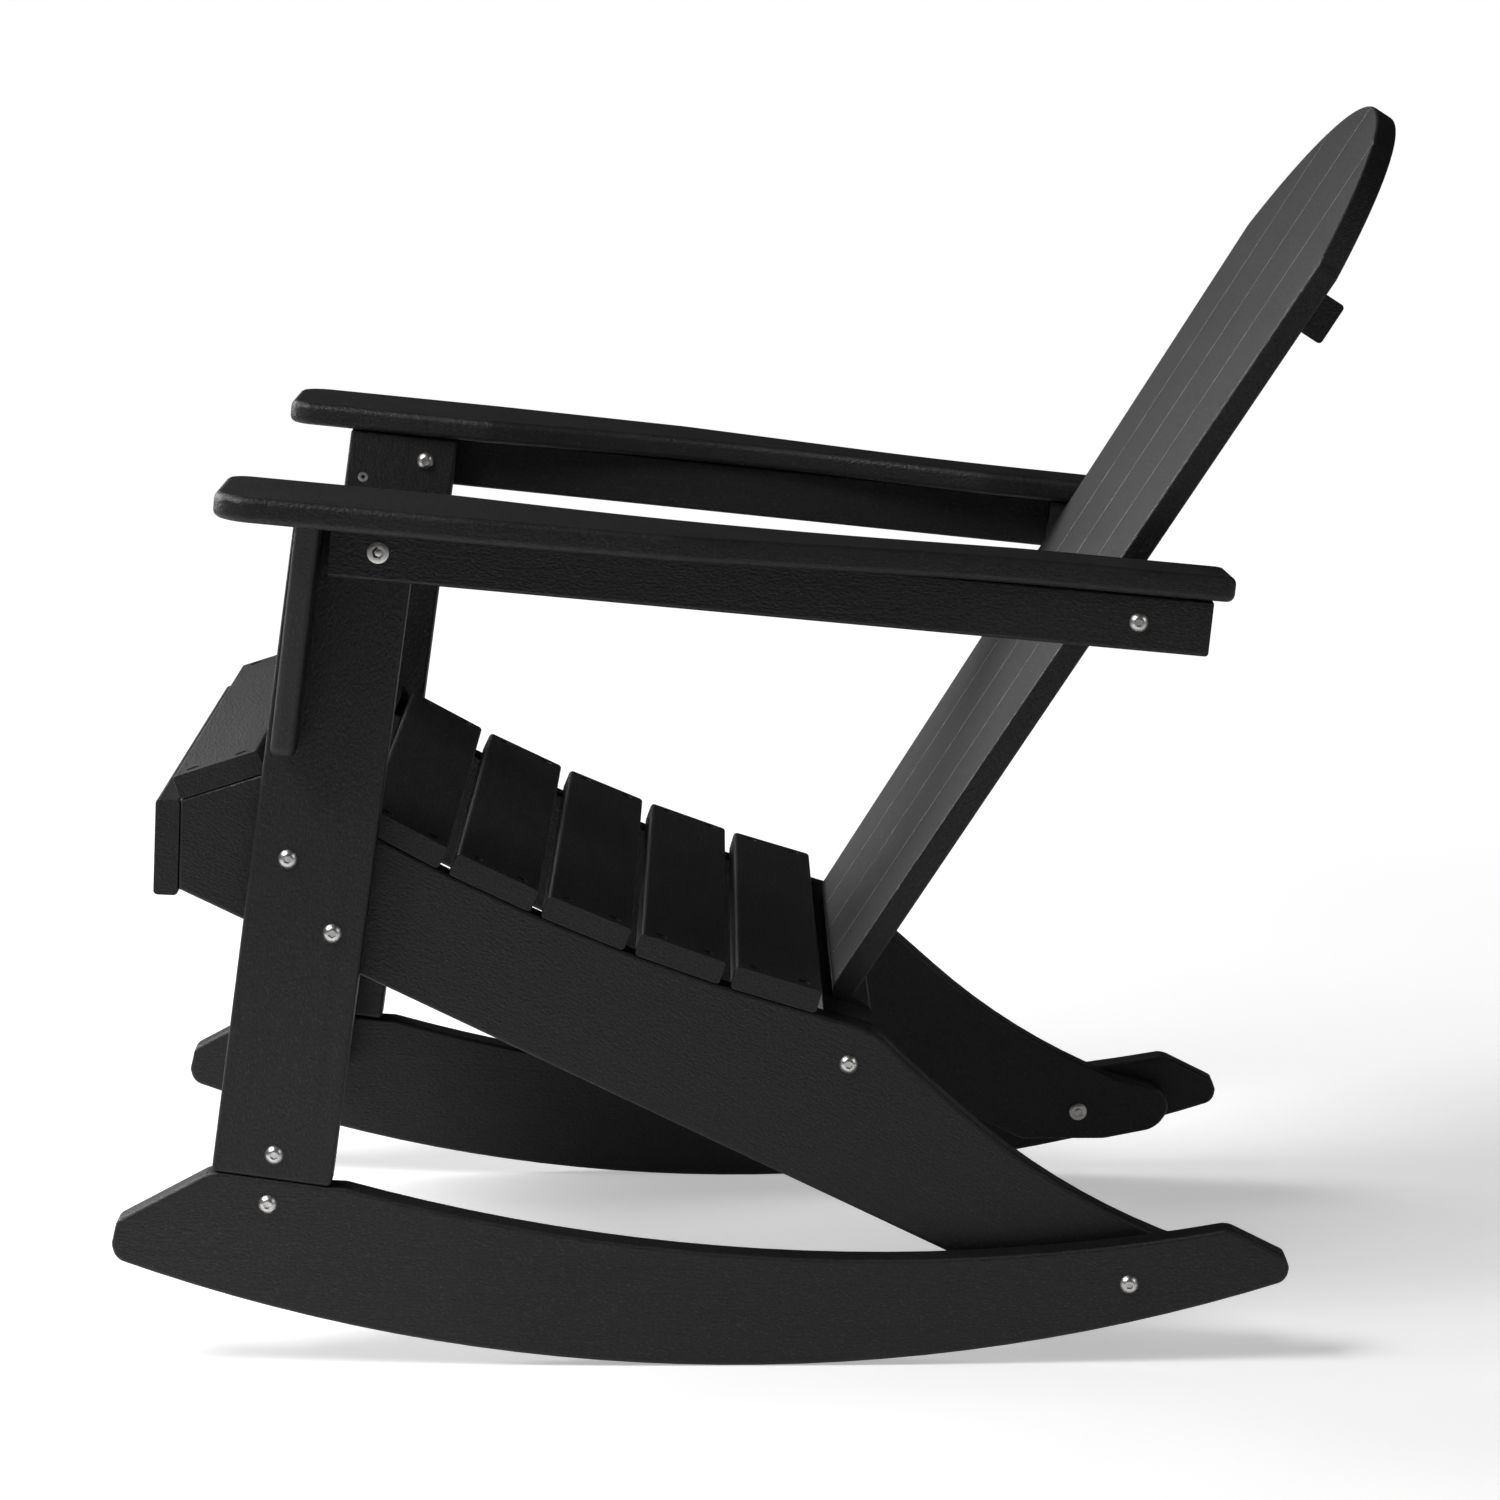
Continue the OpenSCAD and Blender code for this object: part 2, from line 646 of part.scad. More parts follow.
module arm_rail() {
    color(board_colour) difference() {
        on_arm() translate([0, 0, -arm_t - arm_rail_h]) linear_extrude(arm_rail_h) polygon([
            [leg_out, arm_rail_front], [leg_out, leg_rear_s],
            [arm_rail_in(arm_rail_rear), arm_rail_rear],
            [arm_rail_in(arm_rail_rear) + arm_rail_x, arm_rail_rear],
            [arm_rail_in(arm_rail_front) + arm_rail_x, arm_rail_front]
        ]);
        cross_hole(arm_bolt_place, bolt_hole, leg_out - over, frame_t + 2 * over);
        cross_hole(arm_bolt_place, bolt_head_d + 2 * clear, arm_bolt_seat, over);
        cross_hole(back_rail_mid, bolt_hole, spacer_in, 2 * frame_t + over);
        cross_hole(back_rail_mid, bolt_head_d + 2 * clear, back_bolt_seat, over);
        each_armrest_screw() {
            screw_hole(arm_screw_l);
            cylinder(d = screw_head_d + 2 * clear, h = arm_rail_h, $fn = round_fn);
        }
    }
}

module arm_spacer() {
    front = arm_rail_rear - spacer_l;
    color(board_colour) difference() {
        on_arm() translate([0, 0, -arm_t - arm_rail_h]) linear_extrude(arm_rail_h) polygon([
            [arm_rail_in(front) - arm_rail_x, front], [arm_rail_in(front), front],
            [arm_rail_in(arm_rail_rear), arm_rail_rear],
            [arm_rail_in(arm_rail_rear) - arm_rail_x, arm_rail_rear]
        ]);
        cross_hole(back_rail_mid, bolt_hole, spacer_in - over, frame_t + 2 * over);
    }
}

// Bracket on the leg's outer face, widening up to the armrest
module arm_bracket() {
    low = bracket_top_b - bracket_l;
    foot_round = bracket_foot_w * 0.42;
    color(board_colour) difference() {
        on_leg() translate([0, bracket_set + slat_t, 0]) rotate([90, 0, 0]) linear_extrude(slat_t)
            polygon(rounded([
                [leg_out, low, foot_round / 3], [leg_out + bracket_foot_w, low, foot_round],
                [leg_out + bracket_top_w, bracket_top_b, 0],
                [leg_out + bracket_top_w, bracket_top_b + over, 0], [leg_out, bracket_top_b + over, 0]
            ]));
        above_arms();
        each_bracket_screw() screw_hole(bracket_screw_l);
    }
}

// Armrest outline in plan: share of its front width, share of its length, radius share
armrest_shares = [
    [0.039, 0, 0.025], [1, 0, 0.036], [0.977, 0.234, 0.55], [0.875, 0.449, 0.08],
    [0.395, 0.735, 0.79], [0.309, 1, 0.011], [-0.18, 0.995, 0.011], [-0.133, 0.791, 0.14],
    [0.202, 0.4816, 1.09], [-0.012, 0.228, 0.055]
];

module armrest() {
    color(board_colour) difference() {
        on_arm() translate([arm_inner, -arm_front, -arm_t]) linear_extrude(arm_t)
            polygon(rounded([for (s = armrest_shares) [arm_w * s[0], arm_l * s[1], arm_l * s[2]]]));
        each_armrest_screw() screw_hole(arm_screw_l);
    }
}

// Fasteners, one group for each joint of the frame

module bolts_through(places, x, l) {
    color(metal_colour) placed() both_sides()
        for (p = places)
            at_side(p, x) bolt(l);
}

module nuts_inside(places, x, l) {
    color(metal_colour) placed() both_sides()
        for (p = places)
            at_side(p, x) mirror([0, 0, 1]) cap_nut(l);
}

bolt_l = 2 * frame_t - 3 * clear;
sleeve_l = frame_t - 2 * clear;

module leg_bolts() {
    bolts_through(leg_bolt_places, leg_out, bolt_l);
}

module cleat_bolts() {
    bolts_through(cleat_bolt_places, leg_out, bolt_l);
}

module foot_bolts() {
    bolts_through([foot_bolt_place], leg_out, bolt_l);
}

module arm_bolts() {
    bolts_through([arm_bolt_place], arm_bolt_seat, arm_bolt_seat - rail_out - 3 * clear);
}

module back_rail_bolts() {
    bolts_through([back_rail_mid], back_bolt_seat, back_bolt_seat - spacer_in + lag_depth - clear);
}

module beam_bolts() {
    bolts_through([beam_bolt_place], rail_out, frame_t + lag_depth);
}

module leg_nuts() {
    nuts_inside(leg_bolt_places, rail_in, sleeve_l);
}

module cleat_nuts() {
    nuts_inside(cleat_bolt_places, rail_in, sleeve_l);
}

module foot_nuts() {
    nuts_inside([foot_bolt_place], rail_in, sleeve_l);
}

module arm_nuts() {
    nuts_inside([arm_bolt_place], rail_out, sleeve_l);
}

module seat_screws() {
    color(metal_colour) placed()
        for (n = [0:curve_slats])
            each_seat_screw(n) screw(slat_t + screw_grip);
}

module apron_screws() {
    color(metal_colour) placed() each_apron_screw() screw(slat_t + screw_grip);
}

module back_screws() {
    color(metal_colour) placed()
        for (u = [brace_u, back_rail_u])
            each_back_screw(u) screw(back_screw_l);
}

module back_dowels() {
    color(board_colour) placed() each_dowel() translate([0, 0, -dowel_l / 2])
        cylinder(d = dowel_d, h = dowel_l, $fn = round_fn);
}

module armrest_screws() {
    color(metal_colour) placed() both_sides() each_armrest_screw() screw(arm_screw_l);
}

module bracket_screws() {
    color(metal_colour) placed() both_sides() each_bracket_screw() screw(bracket_screw_l);
}

left() rocker();  // rocker_left
right() rocker();  // rocker_right
left() front_leg();  // front_leg_left
right() front_leg();  // front_leg_right
left() leg_cleat();  // leg_cleat_left
right() leg_cleat();  // leg_cleat_right
left() side_rail();  // side_rail_left
right() side_rail();  // side_rail_right
front_apron();
seat_slat(0);  // seat_slat_1
seat_slat(1);  // seat_slat_2
seat_slat(2);  // seat_slat_3
seat_slat(3);  // seat_slat_4
seat_slat(4);  // seat_slat_5
seat_slat(5);  // seat_slat_6
seat_slat(6);  // seat_slat_7
lower_back_beam();
back_slat(0);  // back_slat_1
back_slat(1);  // back_slat_2
back_slat(2);  // back_slat_3
back_slat(3);  // back_slat_4
back_arm_rail();
headrest_brace();
left() arm_rail();  // arm_rail_left
right() arm_rail();  // arm_rail_right
left() arm_spacer();  // arm_spacer_left
right() arm_spacer();  // arm_spacer_right
left() arm_bracket();  // arm_bracket_left
right() arm_bracket();  // arm_bracket_right
left() armrest();  // armrest_left
right() armrest();  // armrest_right
leg_bolts();
cleat_bolts();
foot_bolts();
arm_bolts();
back_rail_bolts();
beam_bolts();
leg_nuts();
cleat_nuts();
foot_nuts();
arm_nuts();
seat_screws();
apron_screws();
back_screws();
back_dowels();
armrest_screws();
bracket_screws();
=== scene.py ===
# %% [markdown]
# # A rocking adirondack chair in black plastic lumber
#
# The chair is built from flat boards of recycled plastic that is made to look like
# timber, held by stainless bolts and screws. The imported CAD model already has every
# board and fastener at its true size and place, so this file adds what makes them look
# real: eased edges, a fine rolled grain, and finely made heads on bolts and screws.
# It also sets up the camera, the floor and the light.

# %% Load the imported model
import math
from collections import namedtuple

import bmesh
import bpy
from mathutils import Matrix, Vector


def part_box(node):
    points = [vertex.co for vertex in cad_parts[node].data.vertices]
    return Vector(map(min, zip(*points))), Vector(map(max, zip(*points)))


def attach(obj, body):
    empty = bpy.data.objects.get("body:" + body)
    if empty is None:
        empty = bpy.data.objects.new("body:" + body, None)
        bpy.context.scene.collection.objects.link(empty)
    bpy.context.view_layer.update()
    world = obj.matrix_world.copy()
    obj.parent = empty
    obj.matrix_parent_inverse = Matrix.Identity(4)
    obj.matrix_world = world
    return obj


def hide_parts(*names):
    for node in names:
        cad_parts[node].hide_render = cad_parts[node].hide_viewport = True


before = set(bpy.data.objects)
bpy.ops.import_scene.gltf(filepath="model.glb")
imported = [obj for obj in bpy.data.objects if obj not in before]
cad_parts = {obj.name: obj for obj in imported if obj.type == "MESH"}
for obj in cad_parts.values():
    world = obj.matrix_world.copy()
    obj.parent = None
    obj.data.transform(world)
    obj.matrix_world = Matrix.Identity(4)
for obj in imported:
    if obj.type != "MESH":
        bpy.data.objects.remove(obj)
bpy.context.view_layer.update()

print("nodes loaded:", len(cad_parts))

# %% [markdown]
# ## The camera
#
# A photograph's viewing angle has a place, a direction and a lens. This one looks at the
# chair's left side from a little above, from far off with a long lens, so that the two
# sides of the chair almost line up. Its axes are worked out from a turn about the upright
# and a tilt below the level. That is easier to check than three Euler angles.

# %% Camera
VIEW_FROM = Vector((3.720, -0.0334, 1.076))
VIEW_TURN = math.radians(0.371)
VIEW_TILT = math.radians(10.07)
FILM_WIDTH = 36
LENS_LENGTH = 115.2

camera_data = bpy.data.cameras.new("photo_camera")
camera_data.sensor_width = FILM_WIDTH
camera_data.lens = LENS_LENGTH
camera = bpy.data.objects.new("photo_camera", camera_data)
bpy.context.scene.collection.objects.link(camera)

ahead = Vector((-math.cos(VIEW_TILT) * math.cos(VIEW_TURN),
                math.cos(VIEW_TILT) * math.sin(VIEW_TURN), -math.sin(VIEW_TILT)))
right = Vector((math.sin(VIEW_TURN), math.cos(VIEW_TURN), 0))
above = right.cross(ahead)
turn = Matrix((right, above, -ahead)).transposed().to_4x4()
camera.matrix_world = Matrix.Translation(VIEW_FROM) @ turn
bpy.context.scene.camera = camera
print("camera looks along", [round(v, 3) for v in ahead])

# %% [markdown]
# ## Small helpers for working in edit mode
#
# Operators act on whatever is selected, and the loaded nodes come in selected. So each
# step first leaves one object selected, and then picks faces or edges by where they are
# and which way they point, as a person would with the mouse.

# %% Selection helpers
def only(piece):
    """Leave one object selected and active."""
    bpy.ops.object.select_all(action="DESELECT")
    piece.select_set(True)
    bpy.context.view_layer.objects.active = piece


def open_mesh(piece, mode="FACE"):
    """Go into edit mode on one piece with nothing selected."""
    only(piece)
    bpy.ops.object.mode_set(mode="EDIT")
    bpy.ops.mesh.select_mode(type=mode)
    bpy.ops.mesh.select_all(action="DESELECT")


def close_mesh():
    bpy.ops.object.mode_set(mode="OBJECT")


def pick(kind, test):
    """Select only the faces, edges or verts that pass a test."""
    mesh = bpy.context.object.data
    form = bmesh.from_edit_mesh(mesh)
    form.normal_update()
    for part in form.verts[:] + form.edges[:] + form.faces[:]:
        part.select = False
    chosen = [part for part in getattr(form, kind) if test(part)]
    for part in chosen:
        part.select_set(True)
    bmesh.update_edit_mesh(mesh)


def edge_way(edge):
    """The direction that an edge runs in."""
    return (edge.verts[1].co - edge.verts[0].co).normalized()


print("selection helpers ready")

# %% Making, copying and cutting
MERGE_WITHIN = 0.00001


def copy_node(node, name):
    """A copy of a CAD node with its loose triangles merged into one skin."""
    piece = bpy.data.objects.new(name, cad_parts[node].data.copy())
    bpy.context.scene.collection.objects.link(piece)
    piece.data.materials.clear()
    open_mesh(piece, "VERT")
    bpy.ops.mesh.select_all(action="SELECT")
    bpy.ops.mesh.customdata_custom_splitnormals_clear()
    bpy.ops.mesh.remove_doubles(threshold=MERGE_WITHIN)
    close_mesh()
    return piece


def upright_bar(sides, radius, length, middle_z=0):
    """A bar or cylinder that stands on the upright through the origin."""
    bpy.ops.object.select_all(action="DESELECT")
    bpy.ops.mesh.primitive_cylinder_add(vertices=sides, radius=radius, depth=length,
                                        location=(0, 0, middle_z))
    bpy.ops.object.transform_apply(location=True, rotation=True, scale=True)
    return bpy.context.object


def cut_away(piece, tool):
    """Cut the shape of a tool out of a piece, and throw the tool away."""
    only(piece)
    cut = piece.modifiers.new("cut", "BOOLEAN")
    cut.object = tool
    cut.operation = "DIFFERENCE"
    cut.solver = "EXACT"
    bpy.ops.object.modifier_apply(modifier=cut.name)
    bpy.data.objects.remove(tool)


print("points closer than", 1000 * MERGE_WITHIN, "mm are merged")

# %% [markdown]
# ## Turning a CAD board into a milled board
#
# A real board is a flat outline with a thickness, and a router has run round its edges.
# The way to it here is the same: take one flat side of the CAD node, keep only its outer
# outline, fill that with one face, pull the face through the board's thickness, and
# bevel the rims. Bevelling the CAD mesh itself would also work, but its bolt holes leave
# long thin triangles that bevel badly, and the heads cover those holes anyway.

# %% A board's broad side and its outline
SAME_WAY = 0.999
FLAT_WITH_BROAD_SIDE = 0.9995


def broad_side(piece):
    """The direction that the largest flat side of a piece faces."""
    areas = {}
    for face in piece.data.polygons:
        # Adding zero makes a plain zero of a minus zero, so that the keys agree
        key = tuple(round(c, 2) + 0.0 for c in face.normal)
        areas[key] = areas.get(key, 0) + face.area
    best = Vector(max(areas, key=areas.get)).normalized()
    mean = Vector((0, 0, 0))
    for face in piece.data.polygons:
        if face.normal.dot(best) > FLAT_WITH_BROAD_SIDE:
            mean += face.normal * face.area
    return mean.normalized()


def edge_loops(form):
    """The edges of a mesh, sorted into groups that hang together."""
    loops, left = [], set(form.edges)
    while left:
        loop, fresh = [], [left.pop()]
        while fresh:
            edge = fresh.pop()
            loop.append(edge)
            for corner in edge.verts:
                for other in corner.link_edges:
                    if other in left:
                        left.discard(other)
                        fresh.append(other)
        loops.append(loop)
    return loops


def outer_outline():
    """In edit mode, on a flat sheet with holes: keep the outer outline and fill it."""
    bpy.ops.mesh.select_all(action="SELECT")
    bpy.ops.mesh.region_to_loop()
    bpy.ops.mesh.select_mode(type="EDGE")
    bpy.ops.mesh.select_all(action="INVERT")
    bpy.ops.mesh.delete(type="EDGE")
    form = bmesh.from_edit_mesh(bpy.context.object.data)
    loops = edge_loops(form)
    outer = max(loops, key=lambda loop: sum(e.calc_length() for e in loop))
    kept = {corner.index for edge in outer for corner in edge.verts}
    pick("verts", lambda v: v.index not in kept)
    bpy.ops.mesh.delete(type="VERT")
    bpy.ops.mesh.select_all(action="SELECT")
    bpy.ops.mesh.edge_face_add()
    return len(loops) - 1


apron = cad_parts["front_apron"]
print("the apron's broad side faces", [round(v, 3) for v in broad_side(apron)])

# %% Pulling an outline through the thickness
# Faces no further than this below a board's highest point are its broad side
SKIN_DEPTH = 0.0002


def blank_board(node, name, facing=None):
    """A solid board with the outline of a node's broad side, and no holes."""
    piece = copy_node(node, name)
    facing = facing or broad_side(piece)
    heights = [v.co.dot(facing) for v in piece.data.vertices]
    high, low = max(heights), min(heights)
    open_mesh(piece)
    pick("faces", lambda f: f.normal.dot(facing) > SAME_WAY
         and high - f.calc_center_median().dot(facing) < SKIN_DEPTH)
    bpy.ops.mesh.select_all(action="INVERT")
    bpy.ops.mesh.delete(type="FACE")
    holes = outer_outline()
    bpy.ops.mesh.extrude_region_move(
        TRANSFORM_OT_translate={"value": facing * (low - high)})
    bpy.ops.mesh.select_all(action="SELECT")
    bpy.ops.mesh.normals_make_consistent(inside=False)
    close_mesh()
    print(f"{name}: {holes} holes closed, {1000 * (high - low):.1f} mm thick")
    return piece, facing, high, low


print("outlines are taken within", 1000 * SKIN_DEPTH, "mm of a board's face")

# %% [markdown]
# ## Eased rims and corners
#
# A round router bit takes the sharpness off a board's rims, and corners that a hand might
# catch are rounded before that. Both are bevels here. The corners of the outline come
# first, picked by how many degrees the outline turns there, and the rims of the two broad
# sides follow. A plank that is only sawn to length keeps its cut ends crisper, so there
# the long rims and the ends are bevelled one after the other.

# %% Easing
ON_FACE = 0.00002
# The degrees that an outline turns at a sharp corner, from and to
SHARP = (33, 180)
ROUND_STEPS, EDGE_STEPS, END_STEPS = 4, 3, 2
END_RIM = 0.0008


def bevel_chosen(width, steps):
    bpy.ops.mesh.bevel(offset_type="OFFSET", offset=width, segments=steps, profile=0.5,
                       affect="EDGES", clamp_overlap=False)


def ease(piece, facing, high, low, rim, along=None, corner=0, turns=SHARP):
    """Round the rims of both broad sides. With along, the cut ends stay crisper. A corner
    radius first rounds the corners of the outline that turn by some range of degrees."""
    def is_rim(edge):
        return any(all(abs(v.co.dot(facing) - level) < ON_FACE for v in edge.verts)
                   for level in (high, low))

    def is_corner(edge):
        return (abs(edge_way(edge).dot(facing)) > SAME_WAY
                and turns[0] < math.degrees(edge.calc_face_angle_signed(0)) < turns[1])

    def is_long_rim(edge):
        return is_rim(edge) and abs(edge_way(edge).dot(along)) > SAME_WAY

    def at_cut_end(edge):
        ends = [abs(face.normal.dot(along)) > SAME_WAY for face in edge.link_faces]
        return any(ends) and not all(ends)

    open_mesh(piece, "EDGE")
    if corner:
        pick("edges", is_corner)
        bevel_chosen(corner, ROUND_STEPS)
    if along is None:
        pick("edges", is_rim)
        bevel_chosen(rim, ROUND_STEPS)
    else:
        pick("edges", is_long_rim)
        bevel_chosen(rim, EDGE_STEPS)
        pick("edges", at_cut_end)
        bevel_chosen(END_RIM, END_STEPS)
    close_mesh()


print("cut ends are eased by", 1000 * END_RIM, "mm")

# %% [markdown]
# ## Where the fasteners are
#
# The heads have to sit exactly where the CAD model has its bolts, nuts and screws, so
# their places are read off it. Each loose part of a fastener node is one bolt, nut or
# screw. Its long direction is its axis, found from its two ends, and its wider end is the
# head.

# %% Measuring the fasteners
END_SHARE = 0.1
AXIS_TURNS = 8
Spot = namedtuple("Spot", "top way length radius")


def centre_of(points, way):
    """The middle of a cluster of points, measured along a direction and across it."""
    side = way.orthogonal().normalized()
    middle = Vector()
    for axis in (way, side, way.cross(side)):
        reach = [p.dot(axis) for p in points]
        middle += axis * (max(reach) + min(reach)) / 2
    return middle


def two_ends(points):
    """The middles of a fastener's two ends, and the direction from one to the other."""
    first = points[0]
    far = max(points, key=lambda p: (p - first).length)
    near = max(points, key=lambda p: (p - far).length)
    way = (near - far).normalized()
    # The ends are taken again along each better direction, until it stands still
    for _ in range(AXIS_TURNS):
        whole = (near - far).dot(way)
        tops = [p for p in points if (p - far).dot(way) > whole * (1 - END_SHARE)]
        lows = [p for p in points if (p - far).dot(way) < whole * END_SHARE]
        head, tip = centre_of(tops, way), centre_of(lows, way)
        way = (head - tip).normalized()
    return head, tip, way


def girth(points, on_axis, way):
    """How far the outermost of some points is from an axis."""
    offsets = [p - on_axis for p in points]
    return max((offset - way * offset.dot(way)).length for offset in offsets)


def measure_fastener(points):
    """The middle of a fastener's top, its axis, its length and its head's radius."""
    head, tip, way = two_ends(points)
    on_axis = (head + tip) / 2
    reach = [p.dot(way) for p in points]
    middle = (max(reach) + min(reach)) / 2
    upper = girth([p for p in points if p.dot(way) > middle], on_axis, way)
    lower = girth([p for p in points if p.dot(way) < middle], on_axis, way)
    if lower > upper:
        way = -way
    highest = max(p.dot(way) for p in points)
    lowest = min(p.dot(way) for p in points)
    top = on_axis + way * (highest - on_axis.dot(way))
    return Spot(top, way, highest - lowest, max(upper, lower))


def fastener_spots(node):
    """One measured spot for each loose part of a fastener node."""
    only(copy_node(node, node + "_measured"))
    bpy.ops.object.mode_set(mode="EDIT")
    bpy.ops.mesh.separate(type="LOOSE")
    bpy.ops.object.mode_set(mode="OBJECT")
    parts = list(bpy.context.selected_objects)
    spots = [measure_fastener([v.co.copy() for v in part.data.vertices]) for part in parts]
    for part in parts:
        bpy.data.objects.remove(part)
    return spots


print("a fastener's ends are the outer", END_SHARE, "of its length")

# %% The places of bolts, nuts and screws
BOLT_NODES = ["leg_bolts", "cleat_bolts", "foot_bolts", "arm_bolts", "back_rail_bolts",
              "beam_bolts"]
NUT_NODES = ["leg_nuts", "cleat_nuts", "foot_nuts", "arm_nuts"]
SCREW_NODES = ["seat_screws", "apron_screws", "back_screws", "armrest_screws",
               "bracket_screws"]
places = {node: fastener_spots(node) for node in BOLT_NODES + NUT_NODES + SCREW_NODES}
for node, spots in places.items():
    print(node, len(spots), "heads of radius", round(1000 * spots[0].radius, 2), "mm, axis",
          [round(v, 3) for v in spots[0].way])

# %% [markdown]
# ## Bored screw places
#
# Each visible screw sits a little below the face of its board, in a clean bored rim. A
# drill that stands on the screw's axis is cut out of the board with a boolean. That works
# at any angle, where insetting the face would need its own measures on every board. The
# armrests' screws come up through their rails from below, so those holes are bored deep.

# %% Boring the screw rims
SCREW_SINK = 0.0007
BORE_CLEAR = 0.0003
# How far the drill reaches below and above the head's top in the CAD model
BORE_BELOW = 0.0016
BORE_REACH = 0.0044
BOX_MARGIN = 0.002
DRILL_SIDES = 24


def turned_to(direction, middle):
    """A placement that stands a thing made on the upright along a direction."""
    return Matrix.Translation(middle) @ direction.to_track_quat("Z", "Y").to_matrix().to_4x4()


def bore(piece, node, box, reach):
    """Bore down to the screw heads of a node that lie in a board's box."""
    low, high = box
    inside = [spot for spot in places[node]
              if all(low[i] - BOX_MARGIN < spot.top[i] < high[i] + BOX_MARGIN
                     for i in range(3))]
    for spot in inside:
        drill = upright_bar(DRILL_SIDES, spot.radius + BORE_CLEAR, reach + BORE_BELOW)
        middle = spot.top + spot.way * (reach - BORE_BELOW) / 2
        drill.data.transform(turned_to(spot.way, middle))
        cut_away(piece, drill)
    return len(inside)


print("screws sit", 1000 * SCREW_SINK, "mm below the boards")

# %% [markdown]
# ## Grain
#
# The boards show a fine rolled grain that always runs along their length, whichever way
# the board lies. So each board stores its own coordinates on its mesh: along its length,
# across, and through its thickness. One material can then read them on every board. Each
# board starts at another place of the pattern, so that no two look the same.

# %% Writing the grain's directions
GRAIN_STEP = 0.731
LENGTH_TURNS = 30
laid = []


def longest_way(piece):
    """The direction in which a piece is longest, found by turning towards its far ends."""
    points = [v.co for v in piece.data.vertices]
    middle = sum(points, Vector()) / len(points)
    way = max((p - middle for p in points), key=lambda p: p.length).normalized()
    for _ in range(LENGTH_TURNS):
        pulled = Vector()
        for p in points:
            offset = p - middle
            pulled += offset * offset.dot(way)
        way = pulled.normalized()
    return way


def lay_grain(piece, facing, way=None):
    """Store where each point lies along the board, across it and through it."""
    way = (way or longest_way(piece)).normalized()
    side = facing.cross(way).normalized()
    through = way.cross(side)
    start = GRAIN_STEP * len(laid)
    grain = piece.data.attributes.new("grain", "FLOAT_VECTOR", "POINT")
    for i, v in enumerate(piece.data.vertices):
        grain.data[i].vector = (v.co.dot(way) + start, v.co.dot(side) + start,
                                v.co.dot(through))
    laid.append(piece.name)


print("each board starts", GRAIN_STEP, "m further along the pattern")

# %% Marking the routed edges and standing in for a node
# The cosine between a slanted face and the broad side, from and to
SLANTED = (0.05, 0.98)
BOARD_CREASE = math.radians(40)


def mark_routed(piece, facing):
    """Mark the faces that the router made: they slant from a broad side to an edge."""
    routed = piece.data.attributes.new("routed", "FLOAT", "FACE")
    for i, face in enumerate(piece.data.polygons):
        slanted = SLANTED[0] < abs(face.normal.dot(facing)) < SLANTED[1]
        routed.data[i].value = 1.0 if slanted else 0.0


def dress(piece, node, material):
    """Smooth the eased edges, give the finish, and let the piece stand for its node."""
    only(piece)
    bpy.ops.object.shade_smooth_by_angle(angle=BOARD_CREASE)
    flat = piece.modifiers.new("flat_faces", "WEIGHTED_NORMAL")
    flat.keep_sharp = True
    bpy.ops.object.modifier_apply(modifier=flat.name)
    piece.data.materials.clear()
    piece.data.materials.append(material)
    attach(piece, "root")
    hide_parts(node)


print("edges under", round(math.degrees(BOARD_CREASE)), "degrees are shaded round")

# %% [markdown]
# ## Building a finish from nodes
#
# Every finish here is mixed from the same few things: noise stretched along one
# direction, a range laid on it, a sum or product of two of them, and a blend of two
# colours. A short function for each keeps a material readable as a recipe.

# %% Shader helpers
NOISE_ROUGHNESS = 0.6
NOISE_LOW, NOISE_HIGH = 0.3, 0.7


def add(tree, kind, **inputs):
    """A new shader node with some of its inputs set."""
    made = tree.nodes.new(kind)
    for key, value in inputs.items():
        made.inputs[key].default_value = value
    return made


def stretched_noise(tree, source, stretch, detail):
    """Noise with some number of cells per metre along each coordinate of its source."""
    mapping = add(tree, "ShaderNodeMapping", Scale=stretch)
    noise = add(tree, "ShaderNodeTexNoise", Scale=1, Detail=detail,
                Roughness=NOISE_ROUGHNESS)
    tree.links.new(source, mapping.inputs["Vector"])
    tree.links.new(mapping.outputs["Vector"], noise.inputs["Vector"])
    return noise.outputs["Fac"]


def remap(tree, source, low, high, from_low=NOISE_LOW, from_high=NOISE_HIGH):
    """Lay a range on a value. Noise hardly leaves the range that is the default."""
    node = add(tree, "ShaderNodeMapRange")
    node.inputs["From Min"].default_value = from_low
    node.inputs["From Max"].default_value = from_high
    node.inputs["To Min"].default_value = low
    node.inputs["To Max"].default_value = high
    tree.links.new(source, node.inputs["Value"])
    return node.outputs["Result"]


def combine(tree, operation, a, b):
    """Add or multiply two things that are each a number or an output."""
    node = tree.nodes.new("ShaderNodeMath")
    node.operation = operation
    for socket, value in zip(node.inputs, (a, b)):
        if isinstance(value, (int, float)):
            socket.default_value = value
        else:
            tree.links.new(value, socket)
    return node.outputs[0]


def blend_colours(tree, share, first, second):
    """Mix two things that are each a colour or an output."""
    node = tree.nodes.new("ShaderNodeMix")
    node.data_type = "RGBA"
    tree.links.new(share, node.inputs[0])
    for socket, value in ((node.inputs[6], first), (node.inputs[7], second)):
        if isinstance(value, tuple):
            socket.default_value = value
        else:
            tree.links.new(value, socket)
    return node.outputs[2]


def attribute(tree, name):
    """A node that reads something stored on the mesh."""
    node = tree.nodes.new("ShaderNodeAttribute")
    node.attribute_name = name
    return node


print("noise is read from", NOISE_LOW, "to", NOISE_HIGH)

